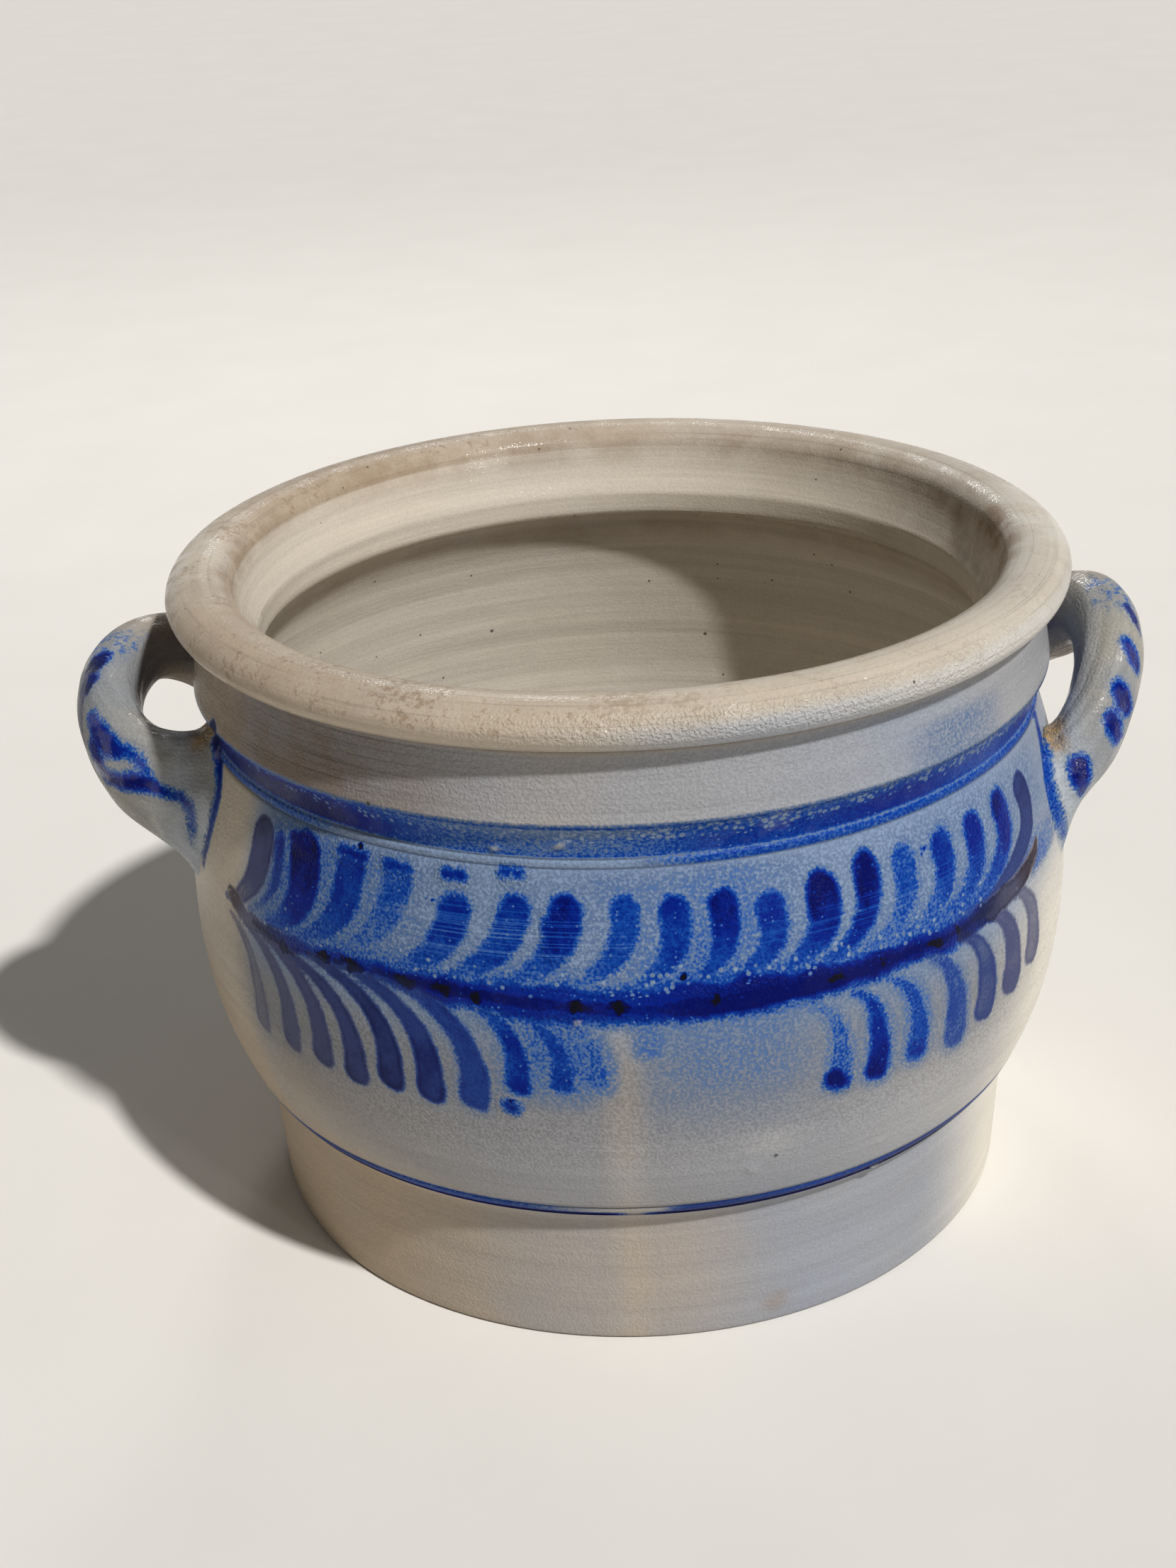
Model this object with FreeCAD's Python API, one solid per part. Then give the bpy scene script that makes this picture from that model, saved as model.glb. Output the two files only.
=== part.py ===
import FreeCAD, Part
import math
import os

# Stoneware crock: a thrown, salt-glazed pot with a rolled rim and two pulled ear
# handles luted onto its shoulder.  Millimetres, +Z up, origin on the standing face
# under the pot's axis.  +X runs to the right handle and -Y to the front.

# Foot band, from the standing face to the ledge under the belly
FOOT_RADIUS = 109.8
FOOT_EDGE = 1.6
FOOT_EDGE_BULGE = 0.45
FOOT_BAND_TOP_RADIUS = 112.2
FOOT_BAND_TOP = 40.6
LEDGE_DISH = 0.7

# Lower turned line: a groove on the ledge, a narrow fillet over it and a finer groove
LOWER_LINE_RADIUS = 116.2
LOWER_LINE_HEIGHT = 45.4
LOWER_LINE_WIDTH = 0.9
LOWER_FILLET_RADIUS = 118.3
LOWER_FILLET_HEIGHT = 49.0
FINE_LINE_WIDTH = 0.7
LINE_LEAN = 0.45
LINE_DEPTH = 0.35
FILLET_BULGE = 0.25

# Belly: each point is (how far inside the widest radius, height)
BELLY_RADIUS = 127.0
BELLY_OUTLINE = [(5.0, 58.5), (1.6, 73.0), (0.0, 94.0), (0.9, 110.0), (3.6, 126.0)]
SHOULDER_RADIUS = 117.5
SHOULDER_HEIGHT = 146.6

# Neck band: a groove, a narrow fillet, a cove and the upper turned line over it
BAND_LINE_WIDTH = 0.6
BAND_LINE_DEPTH = 0.2
BAND_FILLET_RADIUS = 117.3
BAND_FILLET_TOP = 148.9
COVE_RADIUS = 116.7
COVE_BOTTOM = 149.9
COVE_DISH = 0.5
NECK_RADIUS = 120.3
NECK_HEIGHT = 159.2
NECK_CORNER = 0.6
NECK_TOP_RADIUS = 118.4
NECK_DISH = 0.35

# Rolled rim, an oval in section, ending where the mouth's funnel begins
RIM_RADIUS = 125.0
ROLL_HALF_WIDTH = 9.2
ROLL_HALF_HEIGHT = 6.5
ROLL_END_ANGLE = 172.0
CROCK_HEIGHT = 191.2

# Mouth: a funnel inside the rim that ends in a short straight throat
FUNNEL_DISH = 0.6
THROAT_RADIUS = 101.0
THROAT_BOTTOM = 165.4
THROAT_LENGTH = 6.0
THROAT_LIP = 2.4
THROAT_LIP_BULGE = 0.5

# Wall and floor
WALL = 7.4
NECK_WALL_HEIGHT = 153.9
FLOOR = 9.0
FLOOR_RADIUS = 84.0
INSIDE_CORNER = 15.0

# Handles.  Each station is one section of the pulled strap, from the front root over
# the top to the back root: distance out from the axis, distance behind the side of the
# pot, height, and the section's reach up, reach down and half thickness.
LEFT_STATIONS = [
    (108.0, -32.0, 133.0, 20.0, 42.0, 13.0),
    (121.0, -31.5, 134.0, 16.5, 21.5, 10.5),
    (136.0, -26.0, 139.0, 14.0, 15.5, 9.0),
    (144.5, -13.0, 147.5, 12.5, 13.0, 9.0),
    (144.5, 1.0, 154.5, 11.0, 11.5, 8.8),
    (138.0, 14.0, 157.0, 10.0, 9.5, 8.0),
    (129.0, 24.0, 153.5, 10.5, 10.0, 8.0),
    (118.5, 32.5, 145.5, 13.0, 13.0, 9.0),
    (106.5, 38.5, 139.0, 16.0, 24.0, 12.0),
]
RIGHT_STATIONS = [
    (108.0, -33.0, 121.0, 16.0, 38.0, 12.0),
    (117.0, -32.5, 124.0, 12.5, 13.5, 10.0),
    (126.5, -29.0, 132.5, 12.0, 9.5, 8.8),
    (134.5, -19.0, 147.0, 12.0, 9.5, 9.2),
    (137.5, -4.0, 157.5, 11.5, 10.5, 9.5),
    (135.0, 9.0, 159.0, 11.5, 11.0, 9.0),
    (126.5, 20.5, 153.0, 12.0, 12.0, 8.5),
    (116.5, 29.5, 144.5, 13.0, 13.0, 9.0),
    (105.5, 36.0, 138.0, 16.0, 24.0, 12.0),
]


def at(radius, height):
    """Point of the pot's profile, in the XZ plane."""
    return FreeCAD.Vector(radius, 0, height)


def line(start, end):
    return Part.LineSegment(start, end)


def dished(start, end, depth):
    """Arc from start to end whose middle lies depth to the right of the straight way."""
    along = end - start
    across = FreeCAD.Vector(along.z, 0, -along.x).normalize()
    return Part.Arc(start, (start + end) * 0.5 + across * depth, end)


def smooth(points):
    curve = Part.BSplineCurve()
    curve.interpolate(points)
    return curve


def foot_edges():
    """Standing face, its worn edge and the plain band above it."""
    face_end = at(FOOT_RADIUS - FOOT_EDGE, 0)
    edge_end = at(FOOT_RADIUS, FOOT_EDGE)
    band_top = at(FOOT_BAND_TOP_RADIUS, FOOT_BAND_TOP)
    ledge = at(LOWER_LINE_RADIUS, LOWER_LINE_HEIGHT)
    return [
        line(at(0, 0), face_end),
        dished(face_end, edge_end, FOOT_EDGE_BULGE),
        line(edge_end, band_top),
        dished(band_top, ledge, -LEDGE_DISH),
    ]


def belly_start():
    return at(LOWER_FILLET_RADIUS + LINE_LEAN, LOWER_FILLET_HEIGHT + FINE_LINE_WIDTH)


def lower_line_edges():
    """Turned line at the foot of the belly, with a narrow fillet over it."""
    start = at(LOWER_LINE_RADIUS, LOWER_LINE_HEIGHT)
    groove_end = start + at(LINE_LEAN, LOWER_LINE_WIDTH)
    fillet_end = at(LOWER_FILLET_RADIUS, LOWER_FILLET_HEIGHT)
    return [
        dished(start, groove_end, -LINE_DEPTH),
        dished(groove_end, fillet_end, FILLET_BULGE),
        dished(fillet_end, belly_start(), -LINE_DEPTH),
    ]


def belly_points():
    """Outside of the belly, from its lower line to the shoulder's fillet."""
    middle = [at(BELLY_RADIUS - inset, height) for inset, height in BELLY_OUTLINE]
    return [belly_start()] + middle + [at(SHOULDER_RADIUS, SHOULDER_HEIGHT)]


def neck_edges():
    """Shoulder fillet, cove and neck, up to the underside of the rolled rim."""
    shoulder = at(SHOULDER_RADIUS, SHOULDER_HEIGHT)
    groove_end = shoulder + at(-BAND_LINE_DEPTH, BAND_LINE_WIDTH)
    fillet_end = at(BAND_FILLET_RADIUS, BAND_FILLET_TOP)
    cove_start = at(COVE_RADIUS, COVE_BOTTOM)
    neck_start = at(NECK_RADIUS, NECK_HEIGHT)
    cove_end = neck_start - at(NECK_CORNER, NECK_CORNER)
    neck_top = at(NECK_TOP_RADIUS, underside_height())
    return [
        dished(shoulder, groove_end, -BAND_LINE_DEPTH),
        dished(groove_end, fillet_end, BAND_LINE_DEPTH / 2),
        dished(fillet_end, cove_start, -BAND_LINE_DEPTH / 2),
        dished(cove_start, cove_end, -COVE_DISH),
        dished(cove_end, neck_start, -BAND_LINE_DEPTH),
        dished(neck_start, neck_top, -NECK_DISH),
    ]


def roll_centre():
    return at(RIM_RADIUS - ROLL_HALF_WIDTH, CROCK_HEIGHT - ROLL_HALF_HEIGHT)


def roll_angle(radius):
    """Angle on the roll's oval at which its outline has the given radius."""
    return math.acos((radius - roll_centre().x) / ROLL_HALF_WIDTH)


def underside_height():
    """Height at which the neck meets the underside of the roll."""
    return roll_centre().z - ROLL_HALF_HEIGHT * math.sin(roll_angle(NECK_TOP_RADIUS))


def roll_edges():
    """Rolled rim, from the neck round its outside and crown to the mouth."""
    oval = Part.Ellipse(roll_centre(), ROLL_HALF_WIDTH, ROLL_HALF_HEIGHT)
    oval.Axis = FreeCAD.Vector(0, -1, 0)
    oval.XAxis = FreeCAD.Vector(1, 0, 0)
    start = -roll_angle(NECK_TOP_RADIUS)
    return [Part.ArcOfEllipse(oval, start, math.radians(ROLL_END_ANGLE))]


def lip_end():
    return at(THROAT_RADIUS + THROAT_LIP, THROAT_BOTTOM - THROAT_LIP)


def mouth_edges(start):
    """Funnel, straight throat and the rounded lip under it."""
    throat_top = at(THROAT_RADIUS, THROAT_BOTTOM + THROAT_LENGTH)
    throat_end = at(THROAT_RADIUS, THROAT_BOTTOM)
    return [
        dished(start, throat_top, -FUNNEL_DISH),
        line(throat_top, throat_end),
        dished(throat_end, lip_end(), THROAT_LIP_BULGE),
    ]


def inside_points():
    """Inside of the wall, from the throat's lip down to the corner of the floor."""
    points = [lip_end(), at(COVE_RADIUS - WALL, NECK_WALL_HEIGHT)]
    for point in reversed(belly_points()[:-1]):
        points.append(at(point.x - WALL, point.z))
    points.append(at(FLOOR_RADIUS + INSIDE_CORNER, FLOOR + INSIDE_CORNER))
    return points


def floor_edges():
    """Rounded inside corner and the flat floor."""
    corner_centre = at(FLOOR_RADIUS, FLOOR + INSIDE_CORNER)
    diagonal = INSIDE_CORNER * math.sqrt(0.5)
    wall_end = corner_centre + at(INSIDE_CORNER, 0)
    floor_start = at(FLOOR_RADIUS, FLOOR)
    return [
        Part.Arc(wall_end, corner_centre + at(diagonal, -diagonal), floor_start),
        line(floor_start, at(0, FLOOR)),
    ]


def outside_edges():
    edges = foot_edges() + lower_line_edges()
    edges.append(smooth(belly_points()))
    return edges + neck_edges() + roll_edges()


def turned(edges):
    """Solid of revolution about the Z axis from a closed chain of profile edges."""
    wire = Part.Wire([edge.toShape() for edge in edges])
    face = Part.Face(wire)
    return face.revolve(FreeCAD.Vector(0, 0, 0), FreeCAD.Vector(0, 0, 1), 360)


def crock_body():
    """The thrown pot: floor, wall, cove, neck and rolled rim in one piece of clay."""
    edges = outside_edges()
    edges += mouth_edges(edges[-1].EndPoint)
    edges.append(smooth(inside_points()))
    edges += floor_edges()
    edges.append(line(at(0, FLOOR), at(0, 0)))
    return turned(edges)


def body_envelope():
    """The pot's outside shape, filled, used to end the handles on its surface."""
    edges = outside_edges()
    inner_end = edges[-1].EndPoint
    edges.append(line(inner_end, at(0, inner_end.z)))
    edges.append(line(at(0, inner_end.z), at(0, 0)))
    return turned(edges)


def strap_section(centre, tangent, up, down, half_thickness):
    """Oval across the strap, longer below its centre where it is smeared down."""
    upright = FreeCAD.Vector(0, 0, 1)
    width = (upright - tangent * upright.dot(tangent)).normalize()
    across = tangent.cross(width)
    upper = Part.Ellipse(centre + width * up, centre + across * half_thickness, centre)
    lower = Part.Ellipse(centre - width * down, centre - across * half_thickness, centre)
    quarter = math.pi / 2
    arcs = [
        Part.ArcOfEllipse(upper, 0, quarter),
        Part.ArcOfEllipse(lower, 3 * quarter, 4 * quarter),
        Part.ArcOfEllipse(lower, 0, quarter),
        Part.ArcOfEllipse(upper, 3 * quarter, 4 * quarter),
    ]
    return Part.Wire([arc.toShape() for arc in arcs])


def ear_handle(stations, side):
    """Pulled strap through its stations, ended on the outside of the pot."""
    centres = [FreeCAD.Vector(side * out, back, height) for out, back, height, *_ in stations]
    path = smooth(centres)
    sections = []
    for centre, station in zip(centres, stations):
        tangent = path.tangent(path.parameter(centre))[0]
        sections.append(strap_section(centre, tangent, *station[3:]))
    strap = Part.makeLoft(sections, True, False)
    return strap.cut(body_envelope())


def report_solid(name, solid):
    box = solid.optimalBoundingBox()
    print(name, "volume", round(solid.Volume / 1000, 1), "cm3, valid", solid.isValid())
    print("  x", round(box.XMin, 1), round(box.XMax, 1), "y", round(box.YMin, 1), round(box.YMax, 1),
          "z", round(box.ZMin, 1), round(box.ZMax, 1))


def main():
    os.makedirs("parts", exist_ok=True)
    parts = {
        "crock_body": crock_body(),
        "handle_left": ear_handle(LEFT_STATIONS, -1),
        "handle_right": ear_handle(RIGHT_STATIONS, 1),
    }
    for name, shape in parts.items():
        if len(shape.Solids) != 1:
            raise ValueError(name + " is not one solid")
        solid = shape.Solids[0]
        report_solid(name, solid)
        solid.exportStep("parts/" + name + ".step")


main()
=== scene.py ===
import math

import bpy
import numpy as np
from mathutils import Matrix, Vector


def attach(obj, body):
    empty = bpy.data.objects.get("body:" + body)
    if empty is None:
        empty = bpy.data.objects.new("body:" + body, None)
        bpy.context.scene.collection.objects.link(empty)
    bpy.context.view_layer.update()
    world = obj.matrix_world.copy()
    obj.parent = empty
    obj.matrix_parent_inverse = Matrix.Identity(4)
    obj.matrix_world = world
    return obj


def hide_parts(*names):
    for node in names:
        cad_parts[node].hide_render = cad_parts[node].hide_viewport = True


# Looks of the salt-glazed stoneware crock with its cobalt garland.
# Sizes are in millimetres and match the CAD source; meshes are made in metres.
MM = 0.001

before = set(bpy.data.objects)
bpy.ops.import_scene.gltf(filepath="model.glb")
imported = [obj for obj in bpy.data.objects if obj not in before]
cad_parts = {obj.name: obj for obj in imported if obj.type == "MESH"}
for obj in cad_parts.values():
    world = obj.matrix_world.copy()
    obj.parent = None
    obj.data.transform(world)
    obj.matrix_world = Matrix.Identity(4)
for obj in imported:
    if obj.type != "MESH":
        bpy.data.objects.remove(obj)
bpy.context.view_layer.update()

# Foot band, ledge and lower turned line
FOOT_RADIUS = 109.8
FOOT_EDGE = 1.6
FOOT_EDGE_BULGE = 0.45
FOOT_BAND_TOP_RADIUS = 112.2
FOOT_BAND_TOP = 40.6
LEDGE_DISH = 0.7
LOWER_LINE_RADIUS = 116.2
LOWER_LINE_HEIGHT = 45.4
LOWER_LINE_WIDTH = 0.9
LOWER_FILLET_RADIUS = 118.3
LOWER_FILLET_HEIGHT = 49.0
FINE_LINE_WIDTH = 0.7
LINE_LEAN = 0.45
LINE_DEPTH = 0.35
FILLET_BULGE = 0.25

# Belly and shoulder
BELLY_RADIUS = 127.0
BELLY_OUTLINE = [(5.0, 58.5), (1.6, 73.0), (0.0, 94.0), (0.9, 110.0), (3.6, 126.0)]
SHOULDER_RADIUS = 117.5
SHOULDER_HEIGHT = 146.6

# Neck band and neck
BAND_LINE_WIDTH = 0.6
BAND_LINE_DEPTH = 0.2
BAND_FILLET_RADIUS = 117.3
BAND_FILLET_TOP = 148.9
COVE_RADIUS = 116.7
COVE_BOTTOM = 149.9
COVE_DISH = 0.5
NECK_RADIUS = 120.3
NECK_HEIGHT = 159.2
NECK_CORNER = 0.6
NECK_TOP_RADIUS = 118.4
NECK_DISH = 0.35

# Rolled rim, funnel and throat
RIM_RADIUS = 125.0
ROLL_HALF_WIDTH = 9.2
ROLL_HALF_HEIGHT = 6.5
ROLL_END_ANGLE = 172.0
CROCK_HEIGHT = 191.2
FUNNEL_DISH = 0.6
THROAT_RADIUS = 101.0
THROAT_BOTTOM = 165.4
THROAT_LENGTH = 6.0
THROAT_LIP = 2.4
THROAT_LIP_BULGE = 0.5

# Wall and floor
WALL = 7.4
NECK_WALL_HEIGHT = 153.9
FLOOR = 9.0
FLOOR_RADIUS = 84.0
INSIDE_CORNER = 15.0

# Handles: distance out from the axis, distance behind the side, height, reach up,
# reach down and half thickness of the strap, from the front root to the back root
LEFT_STATIONS = [
    (108.0, -32.0, 133.0, 20.0, 42.0, 13.0),
    (121.0, -31.5, 134.0, 16.5, 21.5, 10.5),
    (136.0, -26.0, 139.0, 14.0, 15.5, 9.0),
    (144.5, -13.0, 147.5, 12.5, 13.0, 9.0),
    (144.5, 1.0, 154.5, 11.0, 11.5, 8.8),
    (138.0, 14.0, 157.0, 10.0, 9.5, 8.0),
    (129.0, 24.0, 153.5, 10.5, 10.0, 8.0),
    (118.5, 32.5, 145.5, 13.0, 13.0, 9.0),
    (106.5, 38.5, 139.0, 16.0, 24.0, 12.0),
]
RIGHT_STATIONS = [
    (108.0, -33.0, 121.0, 16.0, 38.0, 12.0),
    (117.0, -32.5, 124.0, 12.5, 13.5, 10.0),
    (126.5, -29.0, 132.5, 12.0, 9.5, 8.8),
    (134.5, -19.0, 147.0, 12.0, 9.5, 9.2),
    (137.5, -4.0, 157.5, 11.5, 10.5, 9.5),
    (135.0, 9.0, 159.0, 11.5, 11.0, 9.0),
    (126.5, 20.5, 153.0, 12.0, 12.0, 8.5),
    (116.5, 29.5, 144.5, 13.0, 13.0, 9.0),
    (105.5, 36.0, 138.0, 16.0, 24.0, 12.0),
]

# Mesh fineness, and the radius of the small closing fans on the axis
COLUMNS = 600
POLE_RADIUS = 8.0
STRAP_RINGS = 150
STRAP_SIDES = 96

# Painted garland. Angles are degrees from the front towards the right handle and
# heights are millimetres. Ink is the strength of the cobalt. Tone is how far it has
# burnt: to dull blue up to 0.7, to lilac grey from there to 1.2, and brown above 1.4.
PAINT_RADIUS = 124.0
UNPAINTED_EDGE = -12.0
STROKE_REACH = 14.0
LEAF_FOOT_HEIGHT = 119.5
# Upper leaves: angle and height of the tip, angle of the foot, bend, width, ink, tone
UPPER_LEAVES = [
    (-51.6, 143.5, -55.6, 0.0, 10.2, 0.64, 0.9),
    (-48.0, 142.6, -51.6, -0.5, 4.8, 0.70, 0.3),
    (-43.0, 145.0, -46.6, -0.5, 12.4, 1.00, 0.0),
    (-35.2, 144.6, -41.2, 0.1, 10.2, 0.80, 0.05),
    (-28.3, 144.6, -35.2, 0.3, 9.4, 0.56, 0.0),
    (-20.6, 139.6, -26.8, 0.3, 9.4, 0.79, 0.0),
    (-13.4, 140.6, -20.3, 0.3, 9.0, 0.80, 0.0),
    (-7.4, 141.0, -13.3, 0.2, 9.2, 0.86, 0.0),
    (-0.6, 141.0, -6.0, 0.0, 7.8, 0.72, 0.0),
    (5.1, 140.2, 1.2, -0.1, 8.4, 0.80, 0.0),
    (10.7, 140.6, 7.6, -0.2, 8.2, 0.88, 0.0),
    (16.2, 138.4, 12.5, -0.3, 8.6, 0.78, 0.0),
    (22.7, 140.0, 18.0, -0.2, 9.6, 0.95, 0.0),
    (28.7, 142.0, 23.7, -0.2, 8.0, 1.00, 0.0),
    (34.3, 141.0, 29.4, -0.2, 8.0, 0.61, 0.0),
    (40.6, 140.8, 35.4, -0.2, 8.4, 0.74, 0.0),
    (46.7, 140.6, 40.8, -0.2, 8.2, 0.82, 0.0),
    (53.1, 141.4, 46.2, -0.2, 8.2, 0.86, 0.0),
    (59.6, 141.0, 52.0, -0.2, 9.0, 0.72, 0.72),
]
# Lower leaves: angle and height of the root, angle and height of the tip, width, ink, tone
LOWER_LEAVES = [
    (-58.4, 112.5, -51.4, 83.5, 6.8, 0.34, 1.15),
    (-54.6, 113.5, -45.2, 83.0, 7.2, 0.54, 0.98),
    (-50.4, 113.5, -39.7, 83.0, 7.4, 0.62, 0.90),
    (-46.2, 113.0, -34.5, 81.5, 7.8, 0.66, 0.80),
    (-41.0, 114.5, -29.4, 83.5, 8.0, 0.74, 0.70),
    (-36.5, 115.5, -24.2, 82.5, 8.2, 0.72, 0.60),
    (-31.0, 116.0, -18.6, 82.5, 8.4, 0.70, 0.45),
    (-22.4, 115.5, -13.4, 88.5, 7.2, 0.78, 0.0),
    (-16.5, 113.0, -8.4, 89.5, 6.8, 0.66, 0.0),
    (-10.8, 112.0, -4.6, 91.5, 6.0, 0.46, 0.0),
    (-0.6, 110.0, 1.5, 101.0, 4.1, 0.22, 0.0),
    (20.3, 107.8, 23.5, 82.0, 7.0, 0.46, 0.0),
    (25.3, 108.6, 28.6, 81.2, 7.6, 0.88, 0.0),
    (30.1, 109.0, 34.3, 82.2, 7.4, 0.66, 0.0),
    (36.0, 110.0, 40.7, 80.5, 8.8, 0.56, 0.40),
    (41.6, 111.5, 46.4, 83.0, 9.4, 0.49, 0.7),
    (47.0, 113.0, 52.4, 84.8, 9.8, 0.50, 0.92),
    (53.4, 113.5, 57.9, 88.0, 9.6, 0.46, 1.1),
]
# Stem through the garland: angle, height, half width, ink, tone
STEM = [
    (-59.0, 116.3, 1.0, 0.40, 1.4),
    (-56.0, 115.3, 1.8, 0.50, 1.3),
    (-50.0, 114.3, 2.2, 0.72, 0.9),
    (-44.0, 114.9, 2.6, 0.80, 0.4),
    (-38.0, 115.9, 2.6, 0.84, 0.2),
    (-32.0, 116.5, 2.8, 0.86, 0.1),
    (-26.0, 116.0, 3.4, 0.88, 0.0),
    (-20.0, 115.3, 4.4, 0.88, 0.0),
    (-14.0, 114.5, 5.4, 0.84, 0.0),
    (-8.0, 113.9, 6.0, 0.80, 0.0),
    (-3.0, 113.6, 5.0, 0.76, 0.0),
    (1.0, 113.9, 4.8, 0.84, 0.0),
    (6.0, 113.9, 5.4, 0.92, 0.0),
    (12.0, 114.2, 5.2, 0.98, 0.0),
    (18.0, 114.0, 4.7, 1.00, 0.0),
    (24.0, 113.6, 4.2, 1.00, 0.0),
    (32.0, 113.8, 3.9, 0.98, 0.0),
    (40.0, 113.4, 3.9, 0.92, 0.1),
    (47.0, 113.8, 3.5, 0.86, 0.7),
    (53.0, 114.6, 3.0, 0.82, 1.4),
    (57.0, 116.3, 2.5, 0.80, 1.9),
    (59.5, 118.4, 2.0, 0.76, 2.0),
    (60.8, 120.4, 1.3, 0.66, 2.0),
]
# Darkest line inside the stem: angle, height, half width, ink, tone
STEM_CORE = [
    (-52.0, 114.8, 0.9, 0.95, 0.8),
    (-45.0, 113.6, 1.3, 1.02, 0.3),
    (-38.0, 115.6, 1.5, 1.02, 0.1),
    (-30.0, 116.2, 1.8, 1.04, 0.0),
    (-22.0, 115.8, 2.6, 1.06, 0.0),
    (-15.0, 114.6, 3.0, 1.04, 0.0),
    (-7.0, 113.6, 2.6, 0.98, 0.0),
    (0.0, 112.6, 2.2, 0.95, 0.0),
    (8.0, 112.6, 3.4, 1.04, 0.0),
    (16.0, 113.0, 3.4, 1.08, 0.0),
    (24.0, 113.2, 3.0, 1.10, 0.0),
    (32.0, 113.8, 2.4, 1.10, 0.0),
    (40.0, 113.6, 2.0, 1.08, 0.2),
    (48.0, 114.4, 1.4, 1.02, 0.9),
]
# Extra dabs of the brush: rows of angle, height, half width, ink, tone
DABS = [
    [(-37.0, 143.6, 2.0, 0.92, 0.0), (-33.6, 143.2, 2.0, 0.92, 0.0)],
    [(-29.8, 143.4, 2.0, 0.80, 0.0), (-27.0, 143.2, 2.0, 0.80, 0.0)],
    [(-22.0, 143.7, 1.9, 0.88, 0.0), (-20.0, 143.7, 1.9, 0.88, 0.0)],
    [(-14.6, 145.4, 1.7, 0.76, 0.0), (-13.0, 145.4, 1.7, 0.76, 0.0)],
    [(-58.4, 118.8, 1.6, 0.52, 1.8), (-56.8, 116.8, 2.8, 0.56, 1.8), (-54.2, 115.6, 1.8, 0.5, 1.5)],
    [(-45.4, 142.6, 1.6, 1.16, 0.0), (-41.6, 140.8, 1.6, 1.16, 0.0)],
    [(-9.0, 133.5, 2.6, 0.95, 0.0), (-8.6, 128.0, 2.6, 0.95, 0.0)],
    [(22.9, 85.6, 2.8, 1.02, 0.0), (24.0, 83.2, 2.5, 1.02, 0.0)],
    [(-14.8, 84.8, 2.4, 0.78, 0.2), (-14.4, 84.2, 2.4, 0.78, 0.2)],
    [(22.4, 138.2, 2.8, 1.02, 0.0), (22.6, 132.5, 2.6, 1.0, 0.0)],
    [(28.8, 140.5, 2.4, 1.08, 0.0), (28.2, 128.5, 2.2, 1.04, 0.0)],
    [(53.6, 139.5, 2.2, 0.98, 0.1), (53.0, 130.5, 2.0, 0.94, 0.1)],
]
# Near-black beads where the slip ran together: angle, height, half length
STEM_BEADS = [
    (-45.6, 112.8, 1.8), (-38.6, 115.6, 1.8), (-34.1, 116.0, 2.2), (-26.8, 115.6, 2.6),
    (-22.0, 115.4, 2.2), (-17.8, 114.6, 1.4), (-6.4, 113.4, 1.8), (-1.6, 113.2, 1.6),
    (9.0, 113.6, 1.6), (23.3, 113.2, 2.0), (29.1, 113.6, 2.4), (37.5, 113.3, 2.8), (41.8, 113.7, 1.6),
]
# Dark pits in the glaze: angle and height
PITS = [
    (-23.8, 137.1), (-14.7, 85.5), (23.6, 124.9), (37.4, 137.6), (-34.2, 146.0), (5.4, 120.5),
]
# Turned lines and the join under the rim, darkened as painted shade: height and half width
CREASE_SHADES = [(45.2, 0.5), (49.3, 0.5), (146.9, 0.4), (149.4, 0.5), (158.9, 0.5), (178.4, 1.3)]
CRUMB_HEIGHT = 0.75
CRUMB_HALF_WIDTH = 1.3
CRUMB_REACH = 1.3
# Glassy crumbs stuck to the glaze: angle, height, half length, slope
CRUMBS = [
    (-7.9, 153.4, 2.6, 0.6), (-15.8, 151.5, 1.8, 0.0), (13.4, 60.4, 2.6, -0.9),
    (30.8, 57.6, 1.6, 0.7), (32.1, 45.7, 2.2, 0.2), (-6.3, 109.6, 1.6, 0.3),
]

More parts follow.
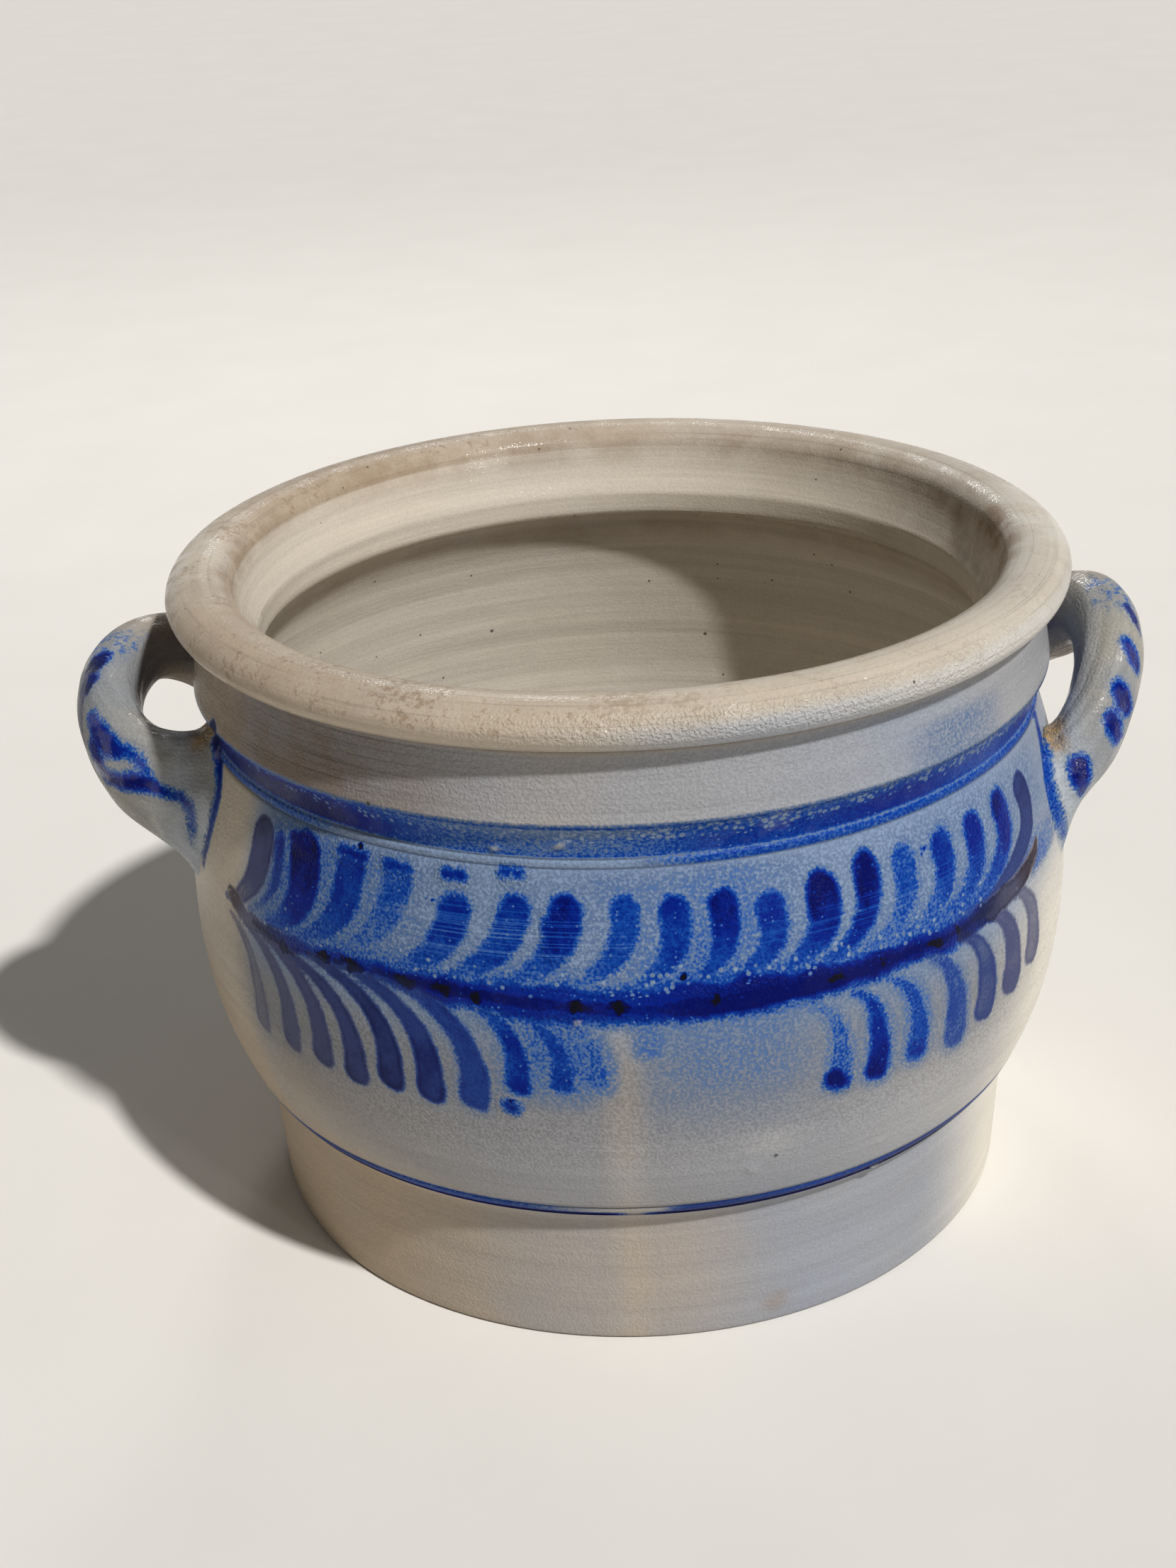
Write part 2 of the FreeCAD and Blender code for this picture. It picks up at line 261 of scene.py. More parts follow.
# Blue outlines at the handle roots and dabs on the straps, in millimetres in space:
# distance right, distance back, height, half width, ink, tone
LEFT_STRAP_PAINT = [
    [(-145.2, -5.6, 164.0, 1.6, 0.95, 0.4), (-147.0, -7.8, 163.0, 2.6, 1.0, 0.5),
     (-148.6, -9.9, 161.8, 2.6, 0.9, 0.9)],
    [(-148.0, -14.2, 160.2, 2.0, 0.85, 0.5), (-149.2, -16.3, 157.8, 1.6, 0.8, 0.8)],
    [(-150.0, -13.0, 158.6, 1.6, 0.6, 1.2), (-151.4, -16.5, 153.8, 2.2, 0.6, 1.2),
     (-152.0, -18.6, 148.0, 2.8, 0.62, 1.2), (-151.6, -20.4, 142.0, 3.0, 0.62, 1.3),
     (-149.6, -23.0, 137.0, 2.6, 0.55, 1.4)],
    [(-147.2, -24.2, 152.0, 2.4, 0.85, 0.1), (-145.2, -27.3, 149.6, 3.4, 0.95, 0.0),
     (-142.3, -30.5, 147.2, 3.6, 0.98, 0.0), (-139.1, -32.9, 146.2, 2.6, 0.92, 0.0),
     (-135.9, -34.3, 146.2, 1.8, 0.80, 0.0), (-132.8, -36.1, 144.6, 1.8, 0.78, 0.0),
     (-130.6, -38.2, 141.8, 1.4, 0.72, 0.0)],
    [(-146.6, -27.4, 145.0, 3.0, 0.95, 0.2), (-145.2, -29.6, 139.8, 2.4, 0.92, 0.2),
     (-143.6, -31.3, 137.6, 2.2, 1.0, 0.1), (-138.8, -35.2, 137.6, 2.4, 1.02, 0.0),
     (-134.3, -37.4, 138.4, 2.6, 1.05, 0.0), (-130.6, -38.8, 138.4, 2.6, 1.05, 0.0),
     (-127.4, -40.3, 136.9, 1.6, 0.98, 0.0), (-124.3, -41.4, 136.2, 1.1, 0.95, 0.0),
     (-121.3, -42.3, 135.6, 1.1, 0.95, 0.0), (-119.3, -42.9, 133.4, 1.1, 0.92, 0.0),
     (-118.8, -42.9, 129.1, 0.9, 0.75, 0.0), (-120.1, -41.5, 121.0, 0.7, 0.4, 0.0)],
]
RIGHT_STRAP_PAINT = [
    [(142.0, -9.0, 166.6, 1.5, 0.80, 0.5), (143.6, -11.4, 163.8, 2.1, 0.85, 0.5),
     (145.0, -12.1, 161.0, 1.6, 0.8, 0.7)],
    [(139.6, -20.6, 160.4, 1.9, 0.92, 0.0), (141.2, -21.7, 157.0, 2.4, 1.0, 0.0),
     (142.6, -21.7, 153.4, 1.8, 0.9, 0.3)],
    [(136.0, -29.7, 150.4, 3.0, 0.96, 0.0), (137.3, -29.8, 147.6, 3.6, 1.02, 0.0),
     (138.6, -29.1, 144.9, 2.6, 0.95, 0.1)],
    [(133.4, -33.6, 143.7, 2.5, 0.95, 0.0), (134.5, -33.3, 141.0, 2.9, 1.0, 0.0),
     (135.6, -32.9, 138.0, 2.2, 0.9, 0.2)],
    [(124.0, -39.5, 132.4, 3.3, 1.0, 0.0), (124.5, -39.9, 129.4, 3.1, 1.02, 0.0),
     (125.2, -40.0, 125.4, 1.6, 0.75, 0.5)],
]
ROOT_OUTLINES = [
    [(-107.3, -52.0, 160.0, 2.2, 0.95, 0.8), (-108.6, -47.0, 156.0, 2.6, 1.0, 0.8),
     (-109.9, -40.4, 151.0, 2.2, 1.0, 0.5), (-109.0, -43.8, 146.6, 1.9, 0.95, 0.1),
     (-108.9, -46.3, 142.0, 1.9, 0.92, 0.0), (-109.4, -48.0, 137.7, 1.9, 0.86, 0.0),
     (-111.3, -47.8, 132.4, 1.8, 0.80, 0.1), (-113.8, -46.4, 124.8, 1.7, 0.66, 0.4),
     (-116.8, -43.8, 115.8, 1.5, 0.50, 0.6)],
    [(110.6, -46.4, 157.6, 2.0, 0.90, 0.8), (111.8, -40.6, 152.5, 2.4, 0.92, 0.6),
     (113.5, -35.0, 146.0, 2.3, 0.80, 0.3), (113.8, -36.5, 141.0, 2.2, 0.66, 0.1),
     (114.3, -39.4, 136.4, 2.2, 0.64, 0.1), (114.5, -43.2, 130.5, 2.2, 0.66, 0.0),
     (116.0, -43.9, 123.9, 2.3, 0.66, 0.0), (118.6, -41.6, 116.2, 2.2, 0.60, 0.0),
     (121.8, -35.0, 106.6, 1.8, 0.45, 0.1)],
]

# Studio lights: power, azimuth and elevation in degrees, and width in degrees; the back
# light has a place and an aim in metres instead
KEY_POWER = 3.2
KEY_WAY = (39.0, 51.0)
KEY_WIDTH = 3.0
WINDOW_POWER = 0.36
WINDOW_WAY = (43.0, 9.0)
WINDOW_WIDTH = 4.0
BACK_POWER = 2.5
BACK_PLACE = (-0.15, 1.1, 1.0)
BACK_AIM = (0.0, 0.0, 0.15)
BACK_SIZE = 0.25
# World: its colour, and its strength on the pot and where it is seen or mirrored
WORLD_COLOUR = (1.0, 0.99, 0.96)
WORLD_ON_OBJECT = 0.10
WORLD_SEEN = 0.74

# Camera of the photograph, image 1659 x 2212 pixels
IMAGE_HEIGHT = 2212.0
FOCAL_PIXELS = 3067.0
SENSOR = 36.0
CAMERA_PLACE = Vector((0.0, -0.57834, 0.38545))
CAMERA_PITCH = 0.4378
CAMERA_YAW = -0.0188
CAMERA_ROLL = -0.0489


# Profile of the turned pot

def arc_points(start, end, depth, step):
    """Points from start to end whose middle lies depth to the right of the straight way."""
    start = np.array(start, float)
    end = np.array(end, float)
    way = end - start
    length = math.hypot(way[0], way[1])
    count = max(2, int(math.ceil(length / step)) + 1)
    share = np.linspace(0.0, 1.0, count)[:, None]
    across = np.array((way[1], -way[0])) / length
    return start + share * way + 4.0 * depth * share * (1.0 - share) * across


def arcs(start, ways):
    """Chain of arcs from the start, one for each end, depth and step."""
    chain = []
    for end, depth, step in ways:
        chain.append(arc_points(start, end, depth, step))
        start = end
    return chain


def lengths_along(points):
    """Distance along a line of points, at each of them."""
    return np.concatenate(([0.0], np.cumsum(np.linalg.norm(np.diff(points, axis=0), axis=1))))


def smooth_points(points, step):
    """Natural cubic spline through the points, sampled evenly."""
    points = np.array(points, float)
    knots = lengths_along(points)
    count = max(2, int(math.ceil(knots[-1] / step)) + 1)
    return spline_values(knots, points, np.linspace(0.0, knots[-1], count))


def spline_values(knots, values, where):
    """Natural cubic spline of the values over the knots, at the places in where."""
    count = len(knots)
    gaps = np.diff(knots)
    system = np.eye(count)
    right = np.zeros_like(values)
    for i in range(1, count - 1):
        system[i, i - 1] = gaps[i - 1]
        system[i, i] = 2.0 * (gaps[i - 1] + gaps[i])
        system[i, i + 1] = gaps[i]
        rise = (values[i + 1] - values[i]) / gaps[i] - (values[i] - values[i - 1]) / gaps[i - 1]
        right[i] = 6.0 * rise
    bend = np.linalg.solve(system, right)
    span = np.clip(np.searchsorted(knots, where, side="right") - 1, 0, count - 2)
    before = ((knots[span + 1] - where) / gaps[span])[:, None]
    after = ((where - knots[span]) / gaps[span])[:, None]
    cubic = (before ** 3 - before) * bend[span] + (after ** 3 - after) * bend[span + 1]
    return before * values[span] + after * values[span + 1] + cubic * (gaps[span] ** 2)[:, None] / 6.0


def roll_point(turn):
    """Point of the rolled rim's oval section, turned up from the outermost point."""
    across = RIM_RADIUS - ROLL_HALF_WIDTH + ROLL_HALF_WIDTH * np.cos(turn)
    return across, CROCK_HEIGHT - ROLL_HALF_HEIGHT + ROLL_HALF_HEIGHT * np.sin(turn)


ROLL_END = math.radians(ROLL_END_ANGLE)
ROLL_START = -math.acos((NECK_TOP_RADIUS - RIM_RADIUS + ROLL_HALF_WIDTH) / ROLL_HALF_WIDTH)


def roll_points(step):
    """Rolled rim, from the neck round its outside and crown to the funnel."""
    count = int((ROLL_END - ROLL_START) * ROLL_HALF_WIDTH / step) + 1
    return np.stack(roll_point(np.linspace(ROLL_START, ROLL_END, count)), axis=1)


def belly_points():
    start = (LOWER_FILLET_RADIUS + LINE_LEAN, LOWER_FILLET_HEIGHT + FINE_LINE_WIDTH)
    middle = [(BELLY_RADIUS - inset, height) for inset, height in BELLY_OUTLINE]
    return [start] + middle + [(SHOULDER_RADIUS, SHOULDER_HEIGHT)]


def lower_outside():
    """Outside from the standing face to the start of the belly."""
    return arcs((POLE_RADIUS, 0.0), [
        ((FOOT_RADIUS - FOOT_EDGE, 0.0), 0.0, 12.0),
        ((FOOT_RADIUS, FOOT_EDGE), FOOT_EDGE_BULGE, 0.4),
        ((FOOT_BAND_TOP_RADIUS, FOOT_BAND_TOP), 0.0, 2.0),
        ((LOWER_LINE_RADIUS, LOWER_LINE_HEIGHT), -LEDGE_DISH, 0.8),
        ((LOWER_LINE_RADIUS + LINE_LEAN, LOWER_LINE_HEIGHT + LOWER_LINE_WIDTH), -LINE_DEPTH, 0.2),
        ((LOWER_FILLET_RADIUS, LOWER_FILLET_HEIGHT), FILLET_BULGE, 0.6),
        (belly_points()[0], -LINE_DEPTH, 0.2),
    ])


def upper_outside():
    """Outside from the shoulder to the underside of the rolled rim."""
    return arcs((SHOULDER_RADIUS, SHOULDER_HEIGHT), [
        ((SHOULDER_RADIUS - BAND_LINE_DEPTH, SHOULDER_HEIGHT + BAND_LINE_WIDTH), -BAND_LINE_DEPTH, 0.15),
        ((BAND_FILLET_RADIUS, BAND_FILLET_TOP), BAND_LINE_DEPTH / 2, 0.4),
        ((COVE_RADIUS, COVE_BOTTOM), -BAND_LINE_DEPTH / 2, 0.25),
        ((NECK_RADIUS - NECK_CORNER, NECK_HEIGHT - NECK_CORNER), -COVE_DISH, 0.7),
        ((NECK_RADIUS, NECK_HEIGHT), -BAND_LINE_DEPTH, 0.2),
        (roll_point(ROLL_START), -NECK_DISH, 1.2),
    ])


def mouth_and_inside():
    """Funnel, throat, inside of the wall, rounded corner and floor."""
    lip_end = (THROAT_RADIUS + THROAT_LIP, THROAT_BOTTOM - THROAT_LIP)
    wall = [lip_end, (COVE_RADIUS - WALL, NECK_WALL_HEIGHT)]
    for radius, height in reversed(belly_points()[:-1]):
        wall.append((radius - WALL, height))
    wall.append((FLOOR_RADIUS + INSIDE_CORNER, FLOOR + INSIDE_CORNER))
    mouth = arcs(roll_point(ROLL_END), [
        ((THROAT_RADIUS, THROAT_BOTTOM + THROAT_LENGTH), -FUNNEL_DISH, 1.0),
        ((THROAT_RADIUS, THROAT_BOTTOM), 0.0, 1.0),
        (lip_end, THROAT_LIP_BULGE, 0.6),
    ])
    sagitta = INSIDE_CORNER * (1.0 - math.sqrt(0.5))
    bottom = arcs(wall[-1], [((FLOOR_RADIUS, FLOOR), -sagitta, 2.5), ((POLE_RADIUS, FLOOR), 0.0, 8.0)])
    return mouth + [smooth_points(wall, 2.0)] + bottom


def joined(chains):
    """One chain of points, with each shared end kept once."""
    points = [chains[0]]
    for chain in chains[1:]:
        points.append(chain[1:])
    return np.concatenate(points)


BELLY = smooth_points(belly_points(), 1.15)
OUTSIDE = joined(lower_outside() + [BELLY] + upper_outside() + [roll_points(1.0)])
INSIDE = joined(mouth_and_inside())
PROFILE = np.concatenate([OUTSIDE, INSIDE[1:]])


# Shared helpers

def between(value, low, high):
    """Smooth step from 0 at low to 1 at high."""
    share = np.clip((value - low) / (high - low), 0.0, 1.0)
    return share * share * (3.0 - 2.0 * share)


def below(value, low, high):
    """Smooth step from 1 at low to 0 at high."""
    return 1.0 - between(value, low, high)


def band(value, low, full, fading, high):
    """Smooth rise from 0 at low to 1 at full, and smooth fall from 1 at fading to 0 at high."""
    return between(value, low, full) * below(value, fading, high)


def hump(value, centre, reach):
    """1 at the centre, falling smoothly to 0 at the reach."""
    return below(np.abs(value - centre), 0.0, reach)


def ripple(angle, waves, seed):
    """Slow irregular wave round the pot, about -1 to 1."""
    chance = np.random.default_rng(seed)
    total = np.zeros_like(angle)
    for wave in waves:
        total += np.sin(np.radians(angle) * wave + chance.uniform(0.0, 6.28)) / len(waves)
    return total


def signed(angle):
    """Angle from -180 to 180 degrees, 0 at the front."""
    return (angle + 180.0) % 360.0 - 180.0


def tube_faces(rings, sides):
    """Faces between rings of points, and fans from a pole point at each end."""
    faces = []
    for ring in range(rings - 1):
        for step in range(sides):
            here = ring * sides + step
            beside = ring * sides + (step + 1) % sides
            faces.append((here, here + sides, beside + sides, beside))
    pole = rings * sides
    base = (rings - 1) * sides
    for step in range(sides):
        beside = (step + 1) % sides
        faces.append((pole, step, beside))
        faces.append((pole + 1, base + beside, base + step))
    return faces


def new_mesh(name, points, faces, attributes):
    """Smooth-shaded mesh object from points in millimetres, with float values per vertex."""
    mesh = bpy.data.meshes.new(name)
    mesh.from_pydata((points * MM).tolist(), [], faces)
    mesh.shade_smooth()
    for key, values in attributes.items():
        layer = mesh.attributes.new(key, "FLOAT", "POINT")
        layer.data.foreach_set("value", np.asarray(values, np.float32).ravel())
    piece = bpy.data.objects.new(name, mesh)
    bpy.context.scene.collection.objects.link(piece)
    return piece


# Cobalt painting as distances from brush strokes

class Painting:
    """Distance inside the nearest brush stroke at each place, with its ink and tone."""

    def __init__(self, places):
        self.places = places
        self.edge = np.full(len(places), UNPAINTED_EDGE)
        self.ink = np.zeros(len(places))
        self.tone = np.zeros(len(places))

    def stroke(self, rows):
        """Adds one stroke through rows of a place, half width, ink and tone."""
        rows = np.array(rows, float)
        for start, end in zip(rows[:-1], rows[1:]):
            self.segment(start, end)

    def segment(self, start, end):
        size = self.places.shape[1]
        way = (end - start)[:size]
        middle = 0.5 * (start + end)[:size]
        reach = STROKE_REACH + 0.5 * np.abs(way).max()
        near = np.nonzero(np.abs(self.places - middle).max(axis=1) < reach)[0]
        offset = self.places[near] - start[:size]
        share = np.clip(offset @ way / (way @ way + 1e-9), 0.0, 1.0)
        away = np.linalg.norm(offset - share[:, None] * way, axis=1)
        half, ink, tone = start[size:, None] + share * (end - start)[size:, None]
        better = half - away > self.edge[near]
        chosen = near[better]
        self.edge[chosen] = (half - away)[better]
        self.ink[chosen] = ink[better]
        self.tone[chosen] = tone[better]


def upper_leaf(tip_angle, tip_height, foot_angle, bend, width, ink, tone):
    """Leaf above the stem: blunt at the top, swept back and thinner towards its foot."""
    sweep = foot_angle - tip_angle
    top = tip_height - width * 0.45
    rows = []
    for t in np.linspace(0.0, 1.12, 10):
        angle = tip_angle + sweep * (bend * t + (1.0 - bend) * t ** 3)
        height = top + (LEAF_FOOT_HEIGHT - top) * t
        half = 0.5 * width * (1.0 - 0.50 * t ** 2.4)
        rows.append((angle, height, half, ink * (1.10 - 0.40 * t ** 1.7), tone))
    return rows


def lower_leaf(root_angle, root_height, tip_angle, tip_height, width, ink, tone):
    """Leaf below the stem: thin at its root, bending down to a slanting tip."""
    rows = []
    tip_height = tip_height + width * 0.45
    bend_angle = tip_angle + 1.2
    bend_height = root_height - 4.0
    for t in np.linspace(0.0, 1.0, 9):
        angle = (1 - t) ** 2 * root_angle + 2 * t * (1 - t) * bend_angle + t ** 2 * tip_angle
        height = (1 - t) ** 2 * root_height + 2 * t * (1 - t) * bend_height + t ** 2 * tip_height
        half = 0.5 * width * (0.22 + 0.78 * t ** 0.9)
        rows.append((angle, height, half, ink * (0.9 + 0.2 * t), tone))
    rows.append((tip_angle + 0.5, tip_height - width * 0.22, 0.32 * width, ink * 1.1, tone))
    return rows


def unrolled(rows, turn):
    """Rows of a stroke turned round the pot, with angles as millimetres of girth."""
    return [(math.radians(row[0] + turn) * PAINT_RADIUS,) + tuple(row[1:]) for row in rows]


def garland(angle, height):
    """Layers of brush work: the leaves, the stem, and its dark core and beads."""
    places = np.stack([np.radians(angle) * PAINT_RADIUS, height], axis=1)
    leaves, stem, core, beads = [Painting(places) for _ in range(4)]
    for turn in (0.0, 180.0):
        chance = np.random.default_rng(7)
        for shape, rows in ((upper_leaf, UPPER_LEAVES), (lower_leaf, LOWER_LEAVES)):
            for leaf in rows:
                leaves.stroke(unrolled(shape(*turned_leaf(leaf, turn, chance)), turn))
        for dab in DABS:
            core.stroke(unrolled(dab, turn))
        stem.stroke(unrolled(STEM, turn))
        core.stroke(unrolled(STEM_CORE, turn))
        for place, level, half in STEM_BEADS:
            reach = half * 0.75
            thick = 2.0 if place < 0.0 else 1.5
            bead = [(place - reach, level + 0.7, 0.8, 1.2, 0.0), (place, level, thick, 1.36, 0.0),
                    (place + reach, level - 0.4, 0.9, 1.15, 0.0)]
            beads.stroke(unrolled(bead, turn))
        for place, level in PITS:
            beads.stroke(unrolled([(place, level, 0.9, 1.4, 0.0), (place + 0.1, level, 0.9, 1.4, 0.0)], turn))
    return {"leaf": leaves, "stem": stem, "core": core, "bead": beads}


def turned_leaf(leaf, turn, chance):
    """The leaf as it is at the front, or a little changed where it is repeated behind."""
    if turn == 0.0:
        return leaf
    first_angle, first_height, last_angle, last, width, ink, tone = leaf
    shift = chance.uniform(-1.2, 1.2)
    ink = min(1.0, max(0.3, ink + chance.uniform(-0.15, 0.15)))
    return first_angle + shift, first_height, last_angle + shift, last, width, ink, tone


# Pieces

def pot_points():
    """Angle, radius and height of the pot's slightly uneven rings, and whether each is inside."""
    angle = np.arange(COLUMNS) * 360.0 / COLUMNS
    radius = np.repeat(PROFILE[:, 0][:, None], COLUMNS, axis=1)
    height = np.repeat(PROFILE[:, 1][:, None], COLUMNS, axis=1)
    angle = np.repeat(angle[None, :], len(PROFILE), axis=0)
    within = np.repeat(np.arange(len(PROFILE))[:, None] >= len(OUTSIDE), COLUMNS, axis=1)
    slow = 0.22 * ripple(angle, (2, 3, 5), 3) + 0.10 * ripple(angle, (7, 11, 13), 4)
    radius = radius + slow * between(radius, 60.0, 100.0)
    above = between(height, 150.0, 162.0)
    rings = np.sin(height * 2.0 * math.pi / 11.3 + 0.8 * ripple(angle, (1, 2), 5)) + np.sin(height * 1.31)
    radius = radius + within * (1.0 - above) * between(height, 14.0, 30.0) * 0.05 * rings
    radius = radius + CRUMB_HEIGHT * crumbs(signed(angle), height) * (1.0 - within)
    return angle, radius, height, within


def crumbs(angle, height):
    """1 on the small crumbs stuck to the outside, falling to 0 round them."""
    total = np.zeros_like(height)
    for place, level, half, slope in CRUMBS:
        right = np.radians(angle - place) * PAINT_RADIUS
        up = height - level
        along = (right + slope * up) / math.hypot(1.0, slope)
        across = (up - slope * right) / math.hypot(1.0, slope)
        total = np.maximum(total, hump(np.hypot(along / half, across / CRUMB_HALF_WIDTH), 0.0, CRUMB_REACH))
    return total


def crock_body():
    """The pot as one closed mesh with its painting held in vertex values."""
    angle, radius, height, within = pot_points()
    turn = np.radians(angle)
    space = np.stack([radius * np.sin(turn), -radius * np.cos(turn), height], axis=-1).reshape(-1, 3)
    points = np.concatenate([space, [(0.0, 0.0, 0.0), (0.0, 0.0, FLOOR)]])
    # The profile runs upwards outside, so each face is turned over to look outwards
    faces = [face[:1] + face[:0:-1] for face in tube_faces(len(PROFILE), COLUMNS)]
    values = pot_values(signed(angle).ravel(), radius.ravel(), height.ravel(), within.ravel(), space)
    values["length"] = np.repeat(lengths_along(PROFILE), COLUMNS)
    values = {key: np.concatenate([value, value[[0, -1]]]) for key, value in values.items()}
    return new_mesh("crock_body_clay", points, faces, values)


def pot_values(angle, radius, height, within, space):
    """Paint, tint and painted shade of the glaze at each point of the pot."""
    outside = 1.0 - within.astype(float)
    behind = np.where(angle < -90.0, angle + 360.0, angle)
    painted = np.nonzero((outside > 0.5) & (height > 60.0) & (height < 178.0))[0]
    layers = garland(behind[painted], height[painted])
    layers["line"] = root_lines(space[painted])
    values = {"inside": within}
    for name, layer in layers.items():
        for part, blank in (("edge", UNPAINTED_EDGE), ("ink", 0.0), ("tone", 0.0)):
            spread = np.full(len(angle), blank)
            spread[painted] = getattr(layer, part)
            values[name + "_" + part] = spread
    mirrored_angle = np.where(behind > 90.0, 180.0 - behind, behind)
    turned = np.where(behind > 90.0, behind - 180.0, behind)
    values["haze"] = haze(turned, height) * outside
    values["crumb"] = crumbs(angle, height) * outside
    values.update(painted_bands(mirrored_angle, angle, height, outside))
    values.update(glaze_tints(mirrored_angle, height, radius, outside))
    # Browner rim and funnel on the far side, towards the right: partly brown glaze, partly painted shade
    far = between(-np.cos(np.radians(angle + 25.0)), -0.4, 0.7)
    values["brown_and_shade"] += values["rim"] * far * (0.04 + 0.15 * between(height, 176.0, 184.0))
    return values


def root_lines(space):
    """Blue outlines of the handle roots, and their mirror images at the back."""
    lines = Painting(space)
    for rows in ROOT_OUTLINES:
        lines.stroke(rows)
        lines.stroke(mirrored(rows))
    return lines


def mirrored(rows):
    """Rows of a stroke in space, turned to the back of the pot."""
    return [(row[0], -row[1]) + tuple(row[2:]) for row in rows]


def painted_bands(angle, true_angle, height, outside):
    """Blue of the cove and of the lower turned line."""
    uneven = 0.10 * ripple(true_angle, (5, 9, 14), 8)
    cove = band(height, 149.5, 150.3, 157.6, 159.3)
    cove_ink = 0.74 + 0.28 * between(-angle, 16.0, 46.0) - 0.40 * hump(angle, -11.0, 26.0)
    cove_ink = cove_ink - uneven - 0.16 * between(height, 154.0, 158.0)
    fillet = band(height, 146.9, 147.3, 149.0, 150.0)
    fillet_ink = 0.60 * between(angle, -4.0, 12.0) + 0.5 * between(-angle, 34.0, 44.0)
    rims = np.maximum(hump(height, 150.2, 0.9), 0.8 * hump(height, 158.8, 1.0)) * (0.74 + uneven)
    thick = 0.9 * between(angle, 8.0, 34.0)
    groove = between(height, 44.4, 45.2) * below(height - thick, 46.6, 47.6)
    gap = 1.0 - 0.92 * hump(angle, -1.0, 4.0)
    groove_ink = (1.04 + 0.10 * ripple(true_angle, (4, 7, 12), 9)) * gap
    wash = band(height, 45.8, 46.8, 48.8, 50.4)
    wash_ink = 0.66 * between(angle, 1.0, 6.0) + 0.58 * between(-angle, 3.0, 18.0)
    bands = np.maximum(cove * cove_ink, fillet * fillet_ink)
    bands = np.maximum(bands, rims)
    bands = np.maximum(bands, np.maximum(groove * groove_ink, wash * wash_ink * gap))
    burnt = 0.10 * between(-angle, 30.0, 46.0) * between(height, 149.0, 150.0)
    burnt += (0.45 + 0.25 * ripple(true_angle, (3, 8, 13), 10)) * below(height, 50.0, 52.0)
    return {"bands": bands * outside, "bands_tone": burnt * outside}


def haze(angle, height):
    """Thin cobalt that spread over the glaze between and below the leaves."""
    sides = band(angle, -56.0, -46.0, 60.0, 74.0)
    inside = band(height, 106.0, 118.0, 142.0, 152.0)
    total = inside * sides * (0.16 + 0.16 * hump(angle, 7.0, 16.0) + 0.18 * between(-angle, 16.0, 42.0))
    above_stem = band(height, 112.0, 116.0, 116.5, 130.0) * sides
    total = np.maximum(total, above_stem * 0.50 * (1.0 - 0.7 * hump(angle, -1.0, 3.5)))
    below_stem = band(height, 104.0, 111.0, 112.0, 116.0)
    total = np.maximum(total, 0.46 * below_stem * hump(angle, 10.0, 26.0) ** 0.5)
    low_right = band(height, 64.0, 98.0, 108.0, 114.0)
    total = np.maximum(total, 0.20 * low_right * hump(angle, 11.0, 20.0) ** 0.6)
    left_patch = hump(angle, -9.0, 10.0) ** 0.6 * hump(height, 101.0, 20.0) ** 0.6
    total = np.maximum(total, 0.46 * left_patch)
    neck = band(height, 158.0, 160.0, 168.0, 174.0)
    neck_right = neck * band(angle, 30.0, 42.0, 50.0, 58.0)
    total = np.maximum(total, 0.14 * neck_right)
    low = band(angle, -4.0, 14.0, 40.0, 55.0)
    total = np.maximum(total, 0.06 * low * hump(height, 48.0, 28.0))
    return total * (1.0 - 0.92 * pale_streak(angle, height))


class Zones:
    """Places on the pot, and parts of its surface: 1 inside each part, 0 away from it."""

    def __init__(self, angle, height, radius, outside):
        self.angle = angle
        self.height = height
        self.radius = radius
        self.outside = outside
        self.inside = 1.0 - outside
        self.rim = np.maximum(between(height, 176.5, 179.0), self.inside)
        self.lip = self.rim * outside
        self.body = 1.0 - self.rim
        self.left = between(-angle, 10.0, 45.0)
        self.right = between(angle, 0.0, 24.0)
        self.far_left = between(-angle, 50.0, 60.0)
        self.far_right = between(angle, 42.0, 68.0)
        self.back = between(np.abs(angle), 60.0, 100.0)
        self.foot = below(height, 40.0, 58.0)
        self.low = below(height, 70.0, 96.0)
        self.neck = between(height, 158.0, 160.0)
        # The neck's left under the rim: fine turning lines, and a browner, darker tint that is partly glaze
        # and partly painted shadow
        self.neck_left = self.body * self.neck * between(-angle, 12.0, 40.0)
        self.streak = pale_streak(angle, height)
        rolled = between(radius, 118.0, 121.0)
        self.rolled_front = hump(angle, 22.0, 44.0) ** 0.5 * rolled
        self.under_rim = below(height, 184.5, 189.5) * rolled * self.lip
        self.front_of_rim = between(angle, -26.0, 26.0)


def pale_streak(angle, height):
    """The upright streak near the middle of the front, where no cobalt took."""
    return hump(angle, -1.6, 4.2) * below(height, 105.0, 111.0)


def cool_tint(zones):
    angle, height, body = zones.angle, zones.height, zones.body
    garland_zone = between(height, 90.0, 118.0) * (1.0 - zones.neck)
    cool = body * garland_zone * (1.0 - zones.far_left) * (1.0 - 0.5 * zones.far_right)
    cool += body * (0.35 * zones.neck * hump(angle, 30.0, 34.0) + 0.22 * zones.low * zones.right)
    cool += zones.under_rim * 0.95 * zones.front_of_rim
    return cool


def warm_and_bounce_tint(zones):
    angle, height, body, foot = zones.angle, zones.height, zones.body, zones.foot
    # Warmer on the left of the body and on the foot: partly beige glaze, partly painted warm light bounced
    # onto that side
    sides = 0.50 * zones.left * zones.low + 0.85 * zones.far_left
    warm_and_bounce = body * (sides + 0.40 * foot * (1.0 - zones.right))
    warm_and_bounce += body * 0.20 * hump(angle, -9.0, 14.0) * zones.neck
    warm_and_bounce += body * 0.26 * zones.streak * (1.0 - 0.5 * foot)
    warm_and_bounce += body * 0.35 * hump(angle, -2.0, 5.0) * hump(height, 123.0, 6.0)
    cooled = 1.0 - 0.95 * zones.under_rim * zones.front_of_rim
    warm_and_bounce += zones.lip * (0.88 - 0.25 * between(angle, 20.0, 60.0)) * cooled
    warm_and_bounce += zones.inside * (0.55 + 0.30 * between(height, 160.0, 172.0))
    return warm_and_bounce


